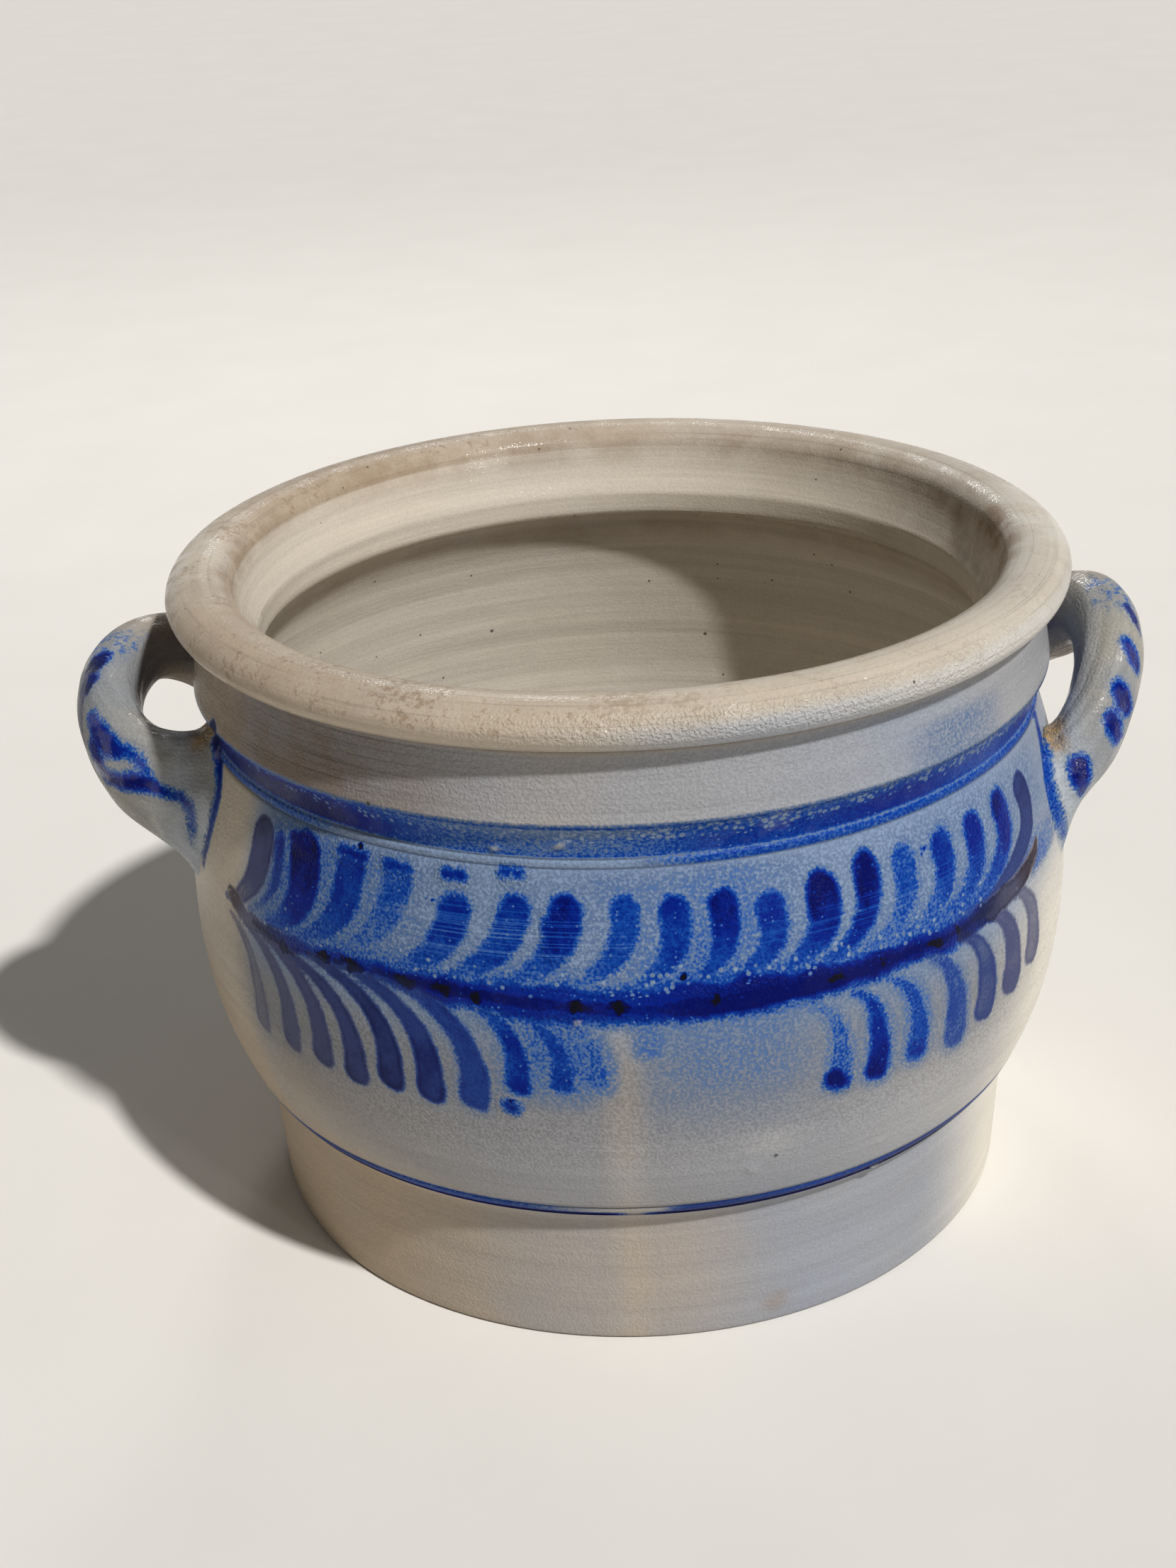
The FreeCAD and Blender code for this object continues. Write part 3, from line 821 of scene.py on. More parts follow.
def pale_and_lit_tint(zones):
    angle, height, body = zones.angle, zones.height, zones.body
    pale = body * zones.far_right * below(height, 92.0, 132.0)
    # Painted light: the far left of the belly is paler where warm light bounces onto it
    pale += body * 0.35 * zones.far_left * between(height, 70.0, 95.0)
    pale += body * 0.20 * between(angle, 20.0, 44.0) * zones.low * between(height, 47.0, 52.0)
    pale += body * 0.10 * zones.streak * (1.0 - 0.6 * zones.foot)
    pale += body * 0.16 * hump(angle, 15.5, 6.5) * hump(height, 70.0, 8.0)
    along_rim = 0.27 + 0.22 * between(angle, -20.0, 40.0) - 0.16 * between(-angle, 20.0, 60.0)
    pale += zones.lip * along_rim
    funnel = 0.32 * between(height, 163.0, 168.0) - 0.46 * between(height, 150.0, 164.0)
    pale += zones.inside * (0.70 + funnel)
    pale += 0.48 * zones.lip * zones.back * between(height, 186.0, 190.0)
    pale += 0.30 * zones.under_rim * between(angle, 10.0, 50.0)
    return pale


def brown_and_shade_tint(zones):
    """Brown of the rim, the neck's left, the funnel and one rust stain on the foot. On the neck's left under
    the rim and on the funnel's right side it is partly brown glaze and partly painted shade; on the rim's
    left it is partly brown glaze and partly painted warm bounce light.
    """
    angle, height = zones.angle, zones.height
    # Browner towards the rim's left: partly brown glaze, partly painted warm bounce light
    brown_and_shade = zones.lip * (0.10 + 0.14 * between(-angle, 0.0, 40.0)) * between(height, 181.0, 186.0)
    # The neck's left under the rim is partly brown glaze and partly painted shadow
    brown_and_shade += zones.inside * hump(height, 158.0, 9.0) * 0.22 + 0.55 * zones.neck_left
    inner_edge = zones.rim * between(height, 179.0, 184.0) * below(zones.radius, 108.5, 112.5)
    brown_and_shade += inner_edge * (0.12 + 0.50 * zones.back)
    # Browner funnel on the right side: partly brown glaze, partly painted shade
    brown_and_shade += 0.30 * zones.inside * between(height, 168.0, 174.0) * hump(angle, 85.0, 45.0)
    brown_and_shade += 0.45 * zones.body * hump(angle, 18.5, 3.2) * hump(height, 7.0, 5.0)
    return brown_and_shade


def dull_and_shade_tint(zones):
    # Darker round the belly's middle: partly a duller glaze, partly painted shade. The neck's left under the
    # rim is darkened as a painted shadow.
    sides = (1.0 - zones.far_right) * (1.0 - 0.6 * zones.far_left)
    dull_and_shade = hump(zones.height, 92.0, 30.0) ** 0.7 * sides * zones.outside
    return dull_and_shade + 0.8 * zones.neck_left


def grain(zones):
    angle, height, body = zones.angle, zones.height, zones.body
    grainy = body * between(height, 50.0, 84.0) * (0.35 + 0.65 * below(-angle, 30.0, 50.0))
    grainy = np.maximum(grainy, body * between(height, 118.0, 126.0) * between(angle, -50.0, -40.0))
    return grainy * (1.0 - 0.6 * between(angle, 46.0, 58.0)) * (1.0 - 0.6 * zones.neck)


def scratches(zones):
    angle, height = zones.angle, zones.height
    scratched = hump(height, 129.0, 11.0) ** 0.5 * hump(angle, -16.0, 22.0) ** 0.5
    return np.maximum(scratched, 0.7 * hump(height, 128.0, 10.0) * hump(angle, 30.0, 32.0))


def crease_shades(zones):
    """Painted shade in the turned lines and in the join under the rim."""
    crease_shade = np.zeros_like(zones.height)
    for level, width in CREASE_SHADES:
        crease_shade = np.maximum(crease_shade, zones.outside * hump(zones.height, level, width))
    return crease_shade


def wetness(zones):
    """Where the salt ran to glass: the cove, the stem, the funnel's back and the rim's front."""
    angle, height, rim = zones.angle, zones.height, zones.rim
    cove = between(height, 149.0, 150.0) * (1.0 - zones.neck)
    wet = np.maximum(cove * (0.12 + 0.88 * hump(angle, 16.0, 9.0)), 0.1 * hump(height, 114.0, 8.0))
    wet = np.maximum(wet * zones.outside, rim * (0.2 + 0.8 * zones.back) * between(height, 160.0, 166.0))
    front = hump(height, 187.0, 6.0) ** 0.5 * zones.lip * hump(angle, 20.0, 30.0) ** 0.5
    return np.maximum(wet, front)


def pearling(zones):
    """Where pale dots stand in the cobalt: the top of the cove and just over the stem."""
    angle, height = zones.angle, zones.height
    pearled = hump(height, 156.4, 2.8) ** 0.5 * (0.5 + 0.5 * between(angle, -12.0, 0.0)) * zones.outside
    over_stem = band(height, 115.5, 117.5, 120.0, 126.0)
    over_stem = over_stem * below(angle, 38.0, 54.0)
    return pearled + over_stem * zones.outside * (0.22 + 0.24 * between(angle, -14.0, 4.0))


def combing(zones):
    """Strength of the fine lines of turning."""
    return 0.15 + 0.85 * zones.neck_left + 0.20 * zones.neck * zones.body + 0.45 * zones.lip


def wear(zones):
    height = zones.height
    worn = zones.lip * between(height, 182.0, 186.0) * (0.45 + 0.55 * between(-zones.angle, -20.0, 30.0))
    return np.maximum(worn, 0.8 * zones.lip * zones.back * between(height, 180.0, 186.0))


def relief(zones):
    """Height of the orange peel, most on the front of the rolled rim."""
    depth = zones.body * (0.55 + 0.25 * zones.neck) * zones.outside + zones.inside * 0.22
    rolled = 2.2 * below(zones.height, 188.0, 190.5) * zones.rolled_front
    return depth + zones.lip * (0.30 + rolled)


def glaze_tints(angle, height, radius, outside):
    """Tint, wear, painted shade and surface of the glaze at each point, each as one named value."""
    zones = Zones(angle, height, radius, outside)
    return {
        "rim": zones.rim, "cool": cool_tint(zones), "warm_and_bounce": warm_and_bounce_tint(zones),
        "pale": pale_and_lit_tint(zones), "brown_and_shade": brown_and_shade_tint(zones), "dull_and_shade": dull_and_shade_tint(zones),
        "worn": wear(zones), "combed": combing(zones), "crease_shade": crease_shades(zones),
        "scratched": scratches(zones), "grainy": grain(zones), "pearled": pearling(zones),
        "relief": relief(zones), "wet": wetness(zones),
    }


def outer_radius(height):
    """Radius of the pot's outside at a height, for the roots of the handles."""
    belly = OUTSIDE[(OUTSIDE[:, 1] > 2.0)]
    belly = belly[: int(np.argmax(belly[:, 1] > 168.0))]
    order = np.argsort(belly[:, 1])
    return np.interp(height, belly[order, 1], belly[order, 0])


def strap_rings(stations):
    """Centres, section directions and section sizes along the strap."""
    stations = np.array(stations, float)
    knots = lengths_along(stations[:, :3])
    where = np.linspace(0.0, knots[-1], STRAP_RINGS)
    rows = spline_values(knots, stations, where)
    centres = rows[:, :3]
    tangents = np.gradient(centres, where, axis=0)
    tangents /= np.linalg.norm(tangents, axis=1)[:, None]
    upright = np.array((0.0, 0.0, 1.0))
    widths = upright - tangents * tangents[:, 2][:, None]
    widths /= np.linalg.norm(widths, axis=1)[:, None]
    across = np.cross(tangents, widths)
    return where, centres, widths, across, rows[:, 3:]


def handle(name, stations, side, seed):
    """Pulled clay strap with finger ridges along it, smeared onto the pot at both roots."""
    along, centres, widths, across, sizes = strap_rings(stations)
    turn = np.arange(STRAP_SIDES) * 2.0 * math.pi / STRAP_SIDES
    up = np.where(np.sin(turn)[None, :] > 0.0, sizes[:, 0:1], sizes[:, 1:2])
    ridge = 1.0 + 0.012 * np.sin(5.0 * turn + 0.7 + seed) + 0.008 * np.sin(11.0 * turn + seed)
    reach_up = np.sin(turn)[None, :] * up * ridge
    reach_out = np.cos(turn)[None, :] * sizes[:, 2:3] * ridge
    points = centres[:, None, :] + widths[:, None, :] * reach_up[:, :, None]
    points = points + across[:, None, :] * reach_out[:, :, None]
    points = luted(points, centres)
    points[:, :, 0] *= side
    faces = tube_faces(STRAP_RINGS, STRAP_SIDES)
    if side > 0:
        faces = [face[::-1] for face in faces]
    caps = np.array([points[0].mean(axis=0), points[-1].mean(axis=0)])
    flat = np.concatenate([points.reshape(-1, 3), caps])
    values = strap_values(flat, side)
    for key, ring in (("side_x", np.cos(turn)), ("side_y", np.sin(turn))):
        values[key] = np.append(np.tile(ring, STRAP_RINGS), (0.0, 0.0))
    values["length"] = np.append(np.repeat(along, STRAP_SIDES), (along[0], along[-1]))
    return new_mesh(name, flat, faces, values)


def strap_values(space, side):
    """Paint and tint of the glaze at each point of a strap."""
    values = {}
    dabs = Painting(space)
    for rows in LEFT_STRAP_PAINT if side < 0 else RIGHT_STRAP_PAINT:
        dabs.stroke(rows)
    for name, layer in (("dab", dabs), ("line", root_lines(space))):
        for part in ("edge", "ink", "tone"):
            values[name + "_" + part] = getattr(layer, part)
    gap = np.hypot(space[:, 0], space[:, 1]) - outer_radius(space[:, 2])
    top = between(space[:, 2], 160.0, 165.0) * hump(space[:, 1], -2.0, 14.0)
    hollow = below(gap, 3.0, 9.0) * between(space[:, 2], 132.0, 140.0)
    hollow = hollow * between(-space[:, 1], 20.0, 34.0)
    values["speckled"] = top * between(np.abs(space[:, 0]), 130.0, 136.0)
    values["brown_and_shade"] = hollow * below(-space[:, 1], 37.0, 40.0)
    values["cool"] = below(gap, 4.0, 16.0) * (1.0 - hollow)
    values["back"] = between(space[:, 1], -4.0, 16.0)
    values["pearled"] = np.zeros(len(space))
    return values


def luted(points, centres):
    """Strap whose roots flare onto the pot and end just under its surface."""
    for _ in range(2):
        radius = np.hypot(points[..., 0], points[..., 1])
        gap = radius - outer_radius(points[..., 2])
        outward = points * np.array((1.0, 1.0, 0.0)) / radius[..., None]
        away = points - centres[:, None, :]
        away = away - outward * (away * outward).sum(axis=-1)[..., None]
        size = np.linalg.norm(away, axis=-1)[..., None]
        flare = (1.0 - np.clip(gap / 5.0, 0.0, 1.0)) ** 2
        points = points + away / np.maximum(size, 4.0) * flare[..., None] * 1.2
    radius = np.hypot(points[..., 0], points[..., 1])
    limit = outer_radius(points[..., 2]) - 1.2
    push = np.maximum(limit - radius, 0.0)
    outward = points * np.array((1.0, 1.0, 0.0)) / radius[..., None]
    return points + outward * push[..., None]


# Materials

class Field:
    """One value in a material; arithmetic on it adds the nodes that work it out."""

    def __init__(self, nodes, socket):
        self.nodes = nodes
        self.socket = socket

    def __add__(self, other):
        return self.nodes.math("ADD", self, other)

    def __radd__(self, other):
        return self.nodes.math("ADD", other, self)

    def __sub__(self, other):
        return self.nodes.math("SUBTRACT", self, other)

    def __rsub__(self, other):
        return self.nodes.math("SUBTRACT", other, self)

    def __mul__(self, other):
        return self.nodes.math("MULTIPLY", self, other)

    def __truediv__(self, other):
        return self.nodes.math("DIVIDE", self, other)

    def step(self, low, high, out_low=0.0, out_high=1.0):
        """Smooth step from out_low where this is low to out_high where it is high."""
        node = self.nodes.new("ShaderNodeMapRange")
        node.interpolation_type = "SMOOTHSTEP"
        return self.nodes.fed(node, self, low, high, out_low, out_high)


class Nodes:
    """Short names for the nodes of a material or of the world."""

    def __init__(self, tree):
        self.tree = tree
        tree.nodes.clear()

    def new(self, kind):
        return self.tree.nodes.new(kind)

    def feed(self, socket, value):
        """Links a field to the socket, or sets the socket to a colour or number."""
        if isinstance(value, Field):
            self.tree.links.new(value.socket, socket)
        elif isinstance(value, tuple):
            socket.default_value = value + (1.0,)
        else:
            socket.default_value = value

    def fed(self, node, *values):
        """First output of the node, with the values fed to its inputs in order."""
        for socket, value in zip(node.inputs, values):
            self.feed(socket, value)
        return Field(self, node.outputs[0])

    def math(self, operation, first, second):
        node = self.new("ShaderNodeMath")
        node.operation = operation
        return self.fed(node, first, second)

    def largest(self, first, *others):
        for other in others:
            first = self.math("MAXIMUM", first, other)
        return first


class Shade(Nodes):
    """Nodes of one material that ends in a Principled shader."""

    def __init__(self, name):
        self.material = bpy.data.materials.new(name)
        self.material.use_nodes = True
        super().__init__(self.material.node_tree)
        self.shader = self.new("ShaderNodeBsdfPrincipled")
        output = self.new("ShaderNodeOutputMaterial")
        self.tree.links.new(self.shader.outputs["BSDF"], output.inputs["Surface"])
        self.place = Field(self, self.new("ShaderNodeTexCoord").outputs["Object"])

    def mix(self, share, first, second, blend="MIX"):
        node = self.new("ShaderNodeMix")
        node.data_type = "RGBA"
        node.blend_type = blend
        for index, value in ((0, share), (6, first), (7, second)):
            self.feed(node.inputs[index], value)
        return Field(self, node.outputs[2])

    def grey(self, level):
        """Colour whose three channels are all the level."""
        return self.fed(self.new("ShaderNodeCombineColor"), level, level, level)

    def value(self, name):
        """Value held at the vertices of the mesh under this name."""
        node = self.new("ShaderNodeAttribute")
        node.attribute_name = name
        return Field(self, node.outputs["Fac"])

    def stretched(self, x, y, z):
        node = self.new("ShaderNodeMapping")
        node.inputs["Scale"].default_value = (x, y, z)
        return self.fed(node, self.place)

    def turned(self, round_scale, across_scale):
        """Place for marks of turning: long round the pot and short along its profile."""
        parts = self.new("ShaderNodeSeparateXYZ")
        self.feed(parts.inputs[0], self.place)
        right, back = [Field(self, parts.outputs[index]) * round_scale for index in (0, 1)]
        along = self.value("length") * (across_scale * MM)
        return self.fed(self.new("ShaderNodeCombineXYZ"), right, back, along)

    def wrapped(self, side_scale, length_scale):
        """Place for marks of pulling: long along a strap and short round its section."""
        side_x = self.value("side_x") * side_scale
        side_y = self.value("side_y") * side_scale
        return self.fed(self.new("ShaderNodeCombineXYZ"), side_x, side_y, self.value("length") * length_scale)

    def noise(self, scale, detail=2.0, rough=0.5, vector=None):
        node = self.new("ShaderNodeTexNoise")
        inputs = {"Vector": vector or self.place, "Scale": scale, "Detail": detail, "Roughness": rough}
        for name, value in inputs.items():
            self.feed(node.inputs[name], value)
        return Field(self, node.outputs[0])

    def peel(self):
        """Grain of the orange peel."""
        return self.noise(PEEL_SCALE, 1.0).step(0.28, 0.72)

    def cells(self, scale):
        """Distance to the nearest cell centre and a random value for that cell."""
        node = self.new("ShaderNodeTexVoronoi")
        self.feed(node.inputs["Vector"], self.place)
        self.feed(node.inputs["Scale"], scale)
        parts = self.new("ShaderNodeSeparateColor")
        self.tree.links.new(node.outputs["Color"], parts.inputs[0])
        return Field(self, node.outputs["Distance"]), Field(self, parts.outputs[0])

    def dots(self, scale, outer, inner, rarity):
        """1 on round dots in some of the cells, falling to 0 from the inner to the outer distance."""
        far, chance = self.cells(scale)
        return far.step(outer, inner) * chance.step(rarity, rarity + 0.02)

    def bump(self, height, distance, normal=None):
        node = self.new("ShaderNodeBump")
        node.inputs["Strength"].default_value = 1.0
        node.inputs["Distance"].default_value = distance
        self.feed(node.inputs["Height"], height)
        if normal is not None:
            self.feed(node.inputs["Normal"], normal)
        return Field(self, node.outputs[0])

    def finish(self, colour, roughness, normal, coat, coat_roughness):
        """The material, with its shader fed."""
        looks = {"Base Color": colour, "Roughness": roughness, "Normal": normal, "Coat Normal": normal,
                 "Coat Weight": coat, "Coat Roughness": coat_roughness, "Specular IOR Level": SPECULAR}
        for name, value in looks.items():
            self.feed(self.shader.inputs[name], value)
        return self.material


# Linear colours of the glaze and the cobalt; the beige, cream and brown also carry painted bounce light and
# painted shade where they are laid
GREY_GLAZE = (0.31, 0.31, 0.32)
COOL_GLAZE = (0.205, 0.275, 0.40)
BEIGE_GLAZE_AND_BOUNCE = (0.45, 0.355, 0.25)
CREAM_GLAZE_AND_LIGHT = (0.70, 0.65, 0.56)
BROWN_GLAZE_AND_SHADE = (0.25, 0.165, 0.10)
# Cobalt from thin to charred, and the strengths between which each colour comes in
COBALTS = [
    (0.0, 0.26, (0.115, 0.165, 0.265)),
    (0.16, 0.42, (0.055, 0.130, 0.34)),
    (0.34, 0.62, (0.004, 0.050, 0.29)),
    (0.60, 0.86, (0.0008, 0.012, 0.19)),
    (0.84, 1.06, (0.0006, 0.003, 0.085)),
    (1.12, 1.30, (0.003, 0.003, 0.008)),
]
BURNT_COBALT = (0.026, 0.038, 0.125)
BURNT_LILAC = (0.110, 0.110, 0.165)
BURNT_BROWN = (0.070, 0.050, 0.044)
BURNT_POOL = (0.003, 0.004, 0.02)
CRUMB_GLAZE = (0.34, 0.35, 0.34)
IRON_SPECK = (0.05, 0.035, 0.025)
STRAP_GREY = (0.25, 0.255, 0.26)
STRAP_BEIGE = (0.33, 0.31, 0.265)
STRAP_COOL = (0.37, 0.395, 0.425)
STRAP_BACK = (0.36, 0.27, 0.18)
STRAP_CRUST = (0.42, 0.27, 0.12)
FLOOR_DARK = (0.77, 0.735, 0.68)
FLOOR_LIGHT = (0.82, 0.785, 0.73)

# Grain of the orange peel per metre, and the specular level of every surface
PEEL_SCALE = 1250.0
SPECULAR = 0.05


def cobalt_over(shade, under, amount, tone):
    """Colour under cobalt of the given strength, burnt where there is tone."""
    colour = under
    for low, high, cobalt in COBALTS:
        colour = shade.mix(amount.step(low, high), colour, cobalt)
    burnt = shade.mix(tone.step(0.7, 1.2), BURNT_COBALT, BURNT_LILAC)
    burnt = shade.mix(tone.step(1.4, 1.9), burnt, BURNT_BROWN)
    burnt = shade.mix(amount.step(0.60, 0.95), burnt, shade.mix(0.72, burnt, BURNT_POOL))
    burnt = shade.mix(amount.step(0.0, 0.58), under, burnt)
    return shade.mix(tone.step(0.0, 0.9, 0.0, 0.95), colour, burnt)


def brushed(shade, name, wobble, feather):
    """Strength of one layer of brush strokes; burnt strokes have harder, darker edges."""
    edge = shade.value(name + "_edge") + wobble
    burnt = shade.value(name + "_tone").step(0.1, 0.8)
    inside = (edge / burnt.step(0.0, 1.0, feather, 1.1)).step(-1.0, 1.0)
    pooled = edge.step(1.9, 0.5) * (burnt * 0.16)
    return inside * (shade.value(name + "_ink") + pooled)


def layer_tone(shade, name):
    """Tone of a layer, only where its strokes are."""
    return shade.value(name + "_edge").step(-1.2, 0.2) * shade.value(name + "_tone")


def broken(shade, amount, tone, peel):
    """Cobalt that thins over the pale peaks of the peel, with small pale dots."""
    rising = amount.step(0.0, 0.42)
    falling = amount.step(0.45, 0.85, 1.0, 0.22)
    calm = tone.step(0.1, 0.7, 1.0, 0.15)
    amount = amount + rising * falling * (calm * 0.40) * (0.5 - peel)
    dots = shade.dots(640.0, 0.26, 0.14, 0.66) * (calm * amount.step(0.3, 0.6))
    amount = amount * (1.0 - dots * amount.step(0.8, 1.1, 0.55, 0.25))
    pearled = shade.value("pearled")
    far, chance = shade.cells(600.0)
    pearls = (far - pearled * 0.16).step(0.42, 0.20) * (chance + pearled * 0.95).step(0.98, 1.02)
    return amount * (1.0 - pearls * 0.75)


def painting(shade, peel, patches):
    """Strength and tone of all the cobalt on the pot."""
    drips = shade.noise(120.0, 3.0, 0.6) - 0.5
    lumps = shade.noise(420.0, 2.0) - 0.5
    wobble = (shade.noise(150.0, 2.0) - 0.5) * 1.2 + (0.5 - peel) * 0.15
    strokes = shade.largest(
        brushed(shade, "leaf", wobble, 1.7) * drips.step(-0.25, 0.25, 0.82, 1.12),
        brushed(shade, "stem", wobble + drips * 6.0, 2.4),
        brushed(shade, "core", wobble + drips * 3.6, 1.7),
        brushed(shade, "bead", lumps * 4.6, 0.9),
        brushed(shade, "line", wobble, 1.3),
    )
    bleed = shade.value("leaf_edge").step(-5.5, 0.5, 0.0, 0.25)
    bleed = bleed * shade.value("leaf_tone").step(0.1, 0.8, 1.0, 0.2)
    thin = shade.largest(shade.value("haze"), bleed) * patches.step(0.3, 0.7, 0.75, 1.2)
    amount = shade.largest(strokes, shade.value("bands"), thin)
    tones = [layer_tone(shade, name) for name in ("leaf", "stem", "core", "line")]
    tone = shade.largest(shade.value("bands_tone"), *tones)
    lines = shade.noise(1.0, 2.0, 0.5, shade.stretched(11.0, 11.0, 1900.0)).step(0.50, 0.60)
    scratches = lines * (shade.value("scratched") * 0.42)
    return broken(shade, amount, tone, peel) * (1.0 - scratches), tone


def clay_colour(shade, peel, patches, streaks):
    """Grey glaze, cooler, warmer, paler or browner where the vertex values say; in places the warmer, paler,
    browner and darker tints are painted light and shade.
    """
    drift = (patches - 0.5) * 0.6
    colour = shade.mix((shade.value("cool") + drift).step(0.0, 1.0), GREY_GLAZE, COOL_GLAZE)
    # Warmer where the vertex values say, partly painted warm bounce light on the left side
    colour = shade.mix((shade.value("warm_and_bounce") + drift).step(0.0, 1.0), colour, BEIGE_GLAZE_AND_BOUNCE)
    # Paler where the vertex values say; on the far left of the belly this is painted bounce light
    colour = shade.mix(shade.value("pale"), colour, CREAM_GLAZE_AND_LIGHT)
    # The brown smudges are brown glaze, and also painted shade on the neck's left, the funnel's right and the
    # rim's far side
    smudge_and_shade = shade.value("brown_and_shade") * shade.noise(60.0, 4.0, 0.65).step(0.3, 0.65, 0.4, 1.3)
    dust = shade.noise(520.0, 3.0, 0.7) * 0.55 + shade.noise(70.0, 3.0, 0.6) * 0.45
    worn = dust.step(0.50, 0.62, 0.0, 0.7) * shade.value("worn")
    colour = shade.mix(shade.largest(smudge_and_shade, worn), colour, BROWN_GLAZE_AND_SHADE)
    rise = (peel - 0.5) * shade.value("grainy").step(0.0, 1.0, 0.08, 0.30)
    strength = shade.value("inside").step(0.0, 1.0, 0.30, 0.55)
    level = 1.0 + (rise + (streaks - 0.5) * strength)
    # Painted shade: the turned lines and the join under the rim are darkened
    level = level * (1.0 - shade.value("crease_shade") * 0.70)
    rings = shade.noise(1.0, 3.0, 0.6, shade.turned(9.0, 1100.0)).step(0.54, 0.66)
    level = level * (1.0 - rings * shade.value("combed") * 0.30)
    # Painted shade: darker round the belly's middle and on the neck's left under the rim
    level = level * (1.0 - shade.value("dull_and_shade") * 0.30)
    return shade.mix(1.0, colour, shade.grey(level), "MULTIPLY")


def salt_glaze(name):
    """Grey salt glaze with orange peel, and cobalt painting where the vertex values say."""
    shade = Shade(name)
    peel = shade.peel()
    patches = shade.noise(26.0, 3.0, 0.55)
    streaks = shade.noise(1.0, 4.0, 0.65, shade.turned(7.0, 330.0))
    amount, tone = painting(shade, peel, patches)
    colour = cobalt_over(shade, clay_colour(shade, peel, patches, streaks), amount, tone)
    fine = shade.dots(170.0, 0.09, 0.05, 0.72) * shade.value("rim")
    specks = shade.largest(shade.dots(55.0, 0.045, 0.025, 0.55), fine)
    colour = shade.mix(specks * 0.8, colour, IRON_SPECK)
    colour = shade.mix(shade.value("crumb").step(0.25, 0.8, 0.0, 0.75), colour, CRUMB_GLAZE)
    roughness = 0.27 + (patches - 0.5) * 0.16 + tone.step(0.0, 1.0) * 0.18
    thick = (shade.value("core_edge") + peel * 1.2).step(-1.5, 1.5)
    normal = shade.bump(streaks, 0.00012)
    normal = shade.bump(patches, 0.0006, normal)
    normal = shade.bump(thick, 0.00020, normal)
    normal = shade.bump(peel * shade.value("relief"), 0.00014, normal)
    coat = shade.value("wet") * shade.noise(110.0, 3.0, 0.6).step(0.42, 0.60)
    return shade.finish(colour, roughness, normal, coat, 0.06)


def strap_painting(shade, peel):
    """Strength and tone of the dabs, blotches and root outlines on a strap."""
    wobble = (shade.noise(150.0, 3.0, 0.6) - 0.5) * 1.8 + (0.5 - peel) * 0.4
    cloud = shade.noise(300.0, 4.0, 0.7).step(0.42, 0.60, 0.0, 0.42)
    amount = shade.largest(
        brushed(shade, "dab", wobble, 1.9),
        brushed(shade, "line", wobble, 1.6),
        shade.value("speckled") * cloud,
        shade.value("dab_edge").step(-4.0, 0.5, 0.0, 0.12),
    )
    tone = shade.largest(layer_tone(shade, "dab"), layer_tone(shade, "line"))
    return broken(shade, amount, tone, peel), tone


def handle_glaze(name):
    """The same salt glaze on the pulled straps, with streaks along the pull."""
    shade = Shade(name)
    peel = shade.peel()
    patches = shade.noise(34.0, 3.0, 0.55)
    pull = shade.noise(1.0, 3.0, 0.6, shade.wrapped(2.6, 0.012))
    grey = shade.mix(patches.step(0.35, 0.68), STRAP_GREY, STRAP_BEIGE)
    grey = shade.mix(shade.value("cool"), grey, STRAP_COOL)
    grey = shade.mix(shade.value("back") * 0.5, grey, STRAP_BACK)
    crust = shade.value("brown_and_shade") * shade.noise(330.0, 4.0, 0.7).step(0.35, 0.62, 0.3, 1.0)
    grey = shade.mix(crust, grey, STRAP_CRUST)
    level = 1.0 + (pull - 0.5) * 0.55 + (peel - 0.5) * 0.16
    grey = shade.mix(1.0, grey, shade.grey(level), "MULTIPLY")
    amount, tone = strap_painting(shade, peel)
    colour = cobalt_over(shade, grey, amount, tone)
    roughness = 0.27 + (patches - 0.5) * 0.18
    normal = shade.bump(pull, 0.0005)
    normal = shade.bump(patches, 0.0010, normal)
    normal = shade.bump(crust, 0.0009, normal)
    normal = shade.bump(peel, 0.00009, normal)
    coat = shade.noise(110.0, 2.0).step(0.52, 0.64, 0.0, 0.8)
    return shade.finish(colour, roughness, normal, coat, 0.08)


def floor_paint():
    shade = Shade("floor_paint")
    speckle = shade.noise(14.0, 3.0)
    colour = shade.mix(speckle, FLOOR_DARK, FLOOR_LIGHT)
    return shade.finish(colour, 0.8, shade.bump(speckle, 0.0004), 0.0, 0.5)


# Stage, lights and camera

def floor():
    half = 6000.0
    corners = np.array([(-half, -half, 0.0), (half, -half, 0.0), (half, half, 0.0), (-half, half, 0.0)])
    piece = new_mesh("floor", corners, [(0, 1, 2, 3)], {})
    piece.data.materials.append(floor_paint())


def lamp(name, kind, energy, place, aim, size):
    data = bpy.data.lights.new(name, kind)
    data.energy = energy
    if kind == "SUN":
        data.angle = size
    else:
        data.size = size
    piece = bpy.data.objects.new(name, data)
    piece.location = place
    piece.rotation_mode = "QUATERNION"
    piece.rotation_quaternion = (Vector(aim) - Vector(place)).to_track_quat("-Z", "Y")
    bpy.context.scene.collection.objects.link(piece)


def light_way(azimuth, elevation):
    """Direction to a light, azimuth from the front towards the right handle."""
    azimuth = math.radians(azimuth)
    elevation = math.radians(elevation)
    level = math.cos(elevation)
    return (math.sin(azimuth) * level, -math.cos(azimuth) * level, math.sin(elevation))


def lights():
    middle = (0.0, 0.0, 0.0)
    lamp("key_light", "SUN", KEY_POWER, light_way(*KEY_WAY), middle, math.radians(KEY_WIDTH))
    lamp("window_light", "SUN", WINDOW_POWER, light_way(*WINDOW_WAY), middle, math.radians(WINDOW_WIDTH))
    lamp("back_light", "AREA", BACK_POWER, BACK_PLACE, BACK_AIM, BACK_SIZE)


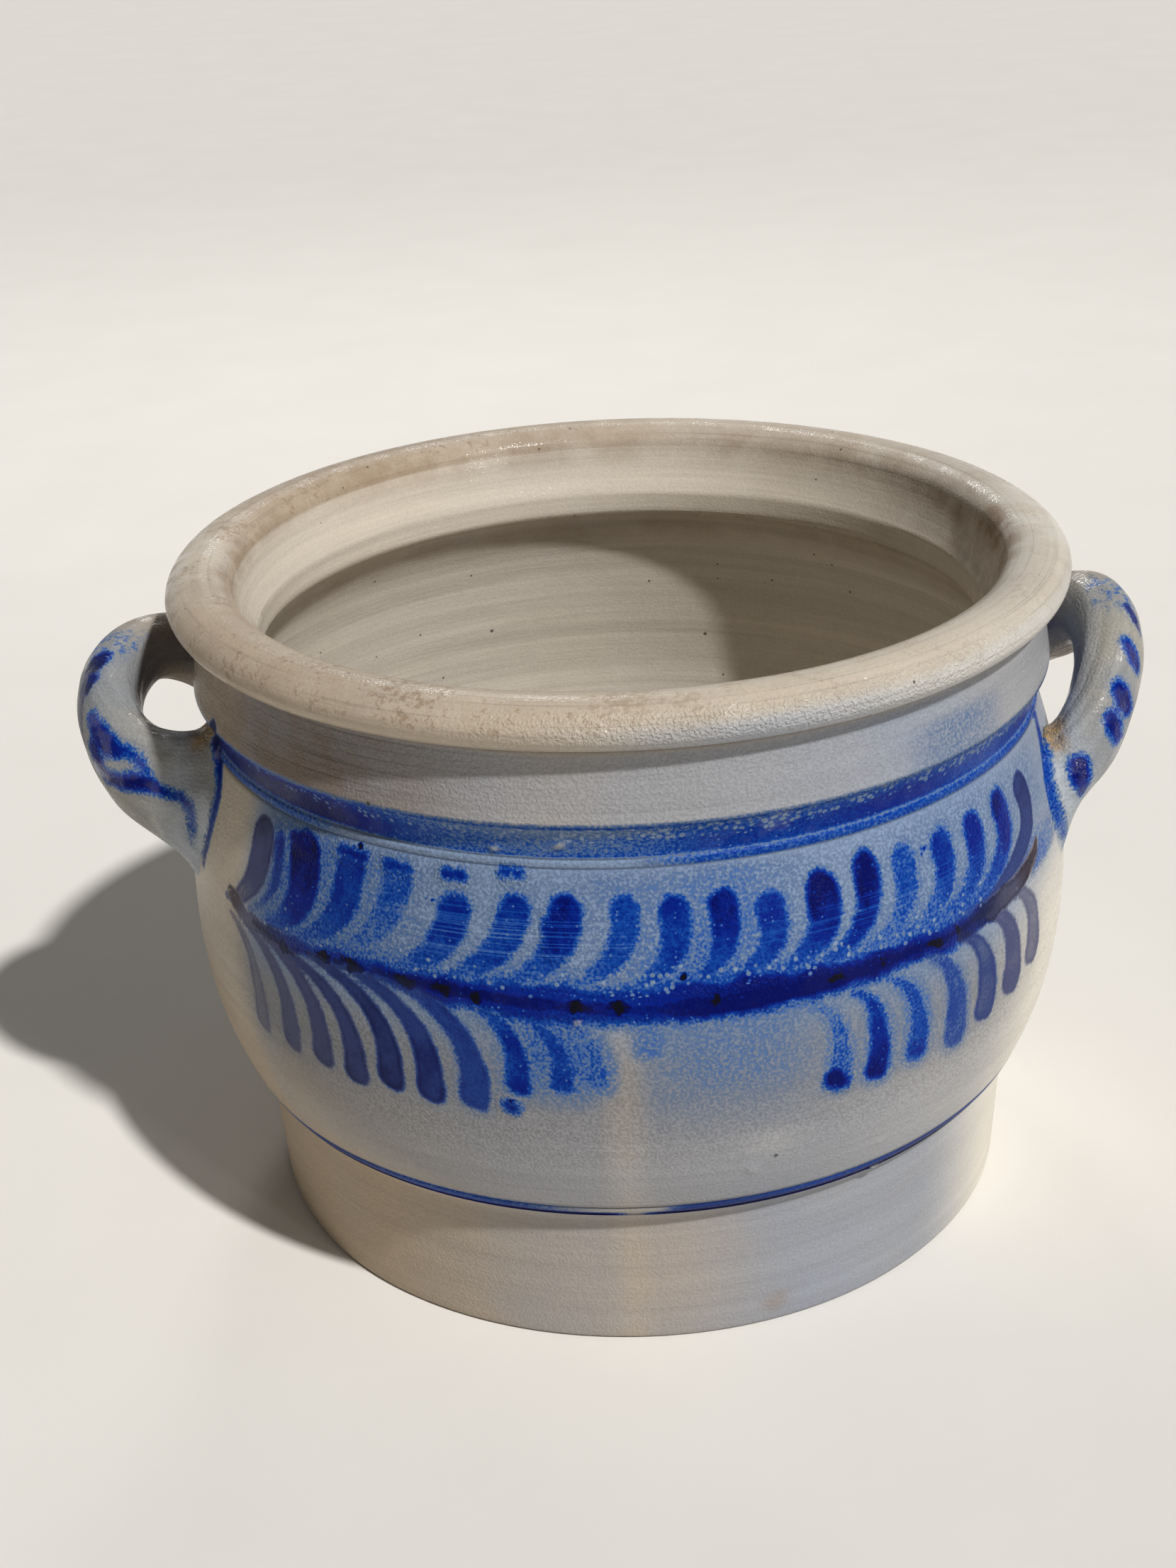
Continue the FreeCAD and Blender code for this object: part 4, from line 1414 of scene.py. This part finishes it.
def surroundings():
    """World that is pale where it is seen or mirrored, and lights the pot only a little."""
    world = bpy.data.worlds.new("studio")
    world.use_nodes = True
    nodes = Nodes(world.node_tree)
    path = nodes.new("ShaderNodeLightPath")
    kinds = ("Is Camera Ray", "Is Glossy Ray", "Is Transmission Ray")
    seen = nodes.largest(*[Field(nodes, path.outputs[kind]) for kind in kinds])
    scale = nodes.new("ShaderNodeMapRange")
    strength = nodes.fed(scale, seen, 0.0, 1.0, WORLD_ON_OBJECT, WORLD_SEEN)
    light = nodes.fed(nodes.new("ShaderNodeBackground"), WORLD_COLOUR, strength)
    nodes.feed(nodes.new("ShaderNodeOutputWorld").inputs["Surface"], light)
    bpy.context.scene.world = world


def camera():
    """Camera at the photograph's place, with its pitch, yaw and roll."""
    ahead = Vector((math.sin(CAMERA_YAW) * math.cos(CAMERA_PITCH),
                    math.cos(CAMERA_YAW) * math.cos(CAMERA_PITCH),
                    -math.sin(CAMERA_PITCH)))
    level = Vector((math.cos(CAMERA_YAW), -math.sin(CAMERA_YAW), 0.0))
    upward = level.cross(ahead)
    right = math.cos(CAMERA_ROLL) * level + math.sin(CAMERA_ROLL) * upward
    top = math.cos(CAMERA_ROLL) * upward - math.sin(CAMERA_ROLL) * level
    data = bpy.data.cameras.new("camera")
    data.sensor_width = SENSOR
    data.lens = FOCAL_PIXELS / IMAGE_HEIGHT * SENSOR
    data.clip_start = 0.02
    data.clip_end = 50.0
    piece = bpy.data.objects.new("camera", data)
    turn = Matrix((right, top, -ahead)).transposed()
    piece.matrix_world = Matrix.Translation(CAMERA_PLACE) @ turn.to_4x4()
    bpy.context.scene.collection.objects.link(piece)
    bpy.context.scene.camera = piece


def dress():
    pot = crock_body()
    pot.data.materials.append(salt_glaze("salt_glaze"))
    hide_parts("crock_body")
    left = handle("handle_left_clay", LEFT_STATIONS, -1.0, 1.0)
    right = handle("handle_right_clay", RIGHT_STATIONS, 1.0, 2.0)
    strap_glaze = handle_glaze("strap_glaze")
    for piece, node in ((left, "handle_left"), (right, "handle_right")):
        piece.data.materials.append(strap_glaze)
        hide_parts(node)
    for piece in (pot, left, right):
        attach(piece, "root")


dress()
floor()
lights()
surroundings()
camera()
bpy.context.scene.view_settings.view_transform = "Standard"
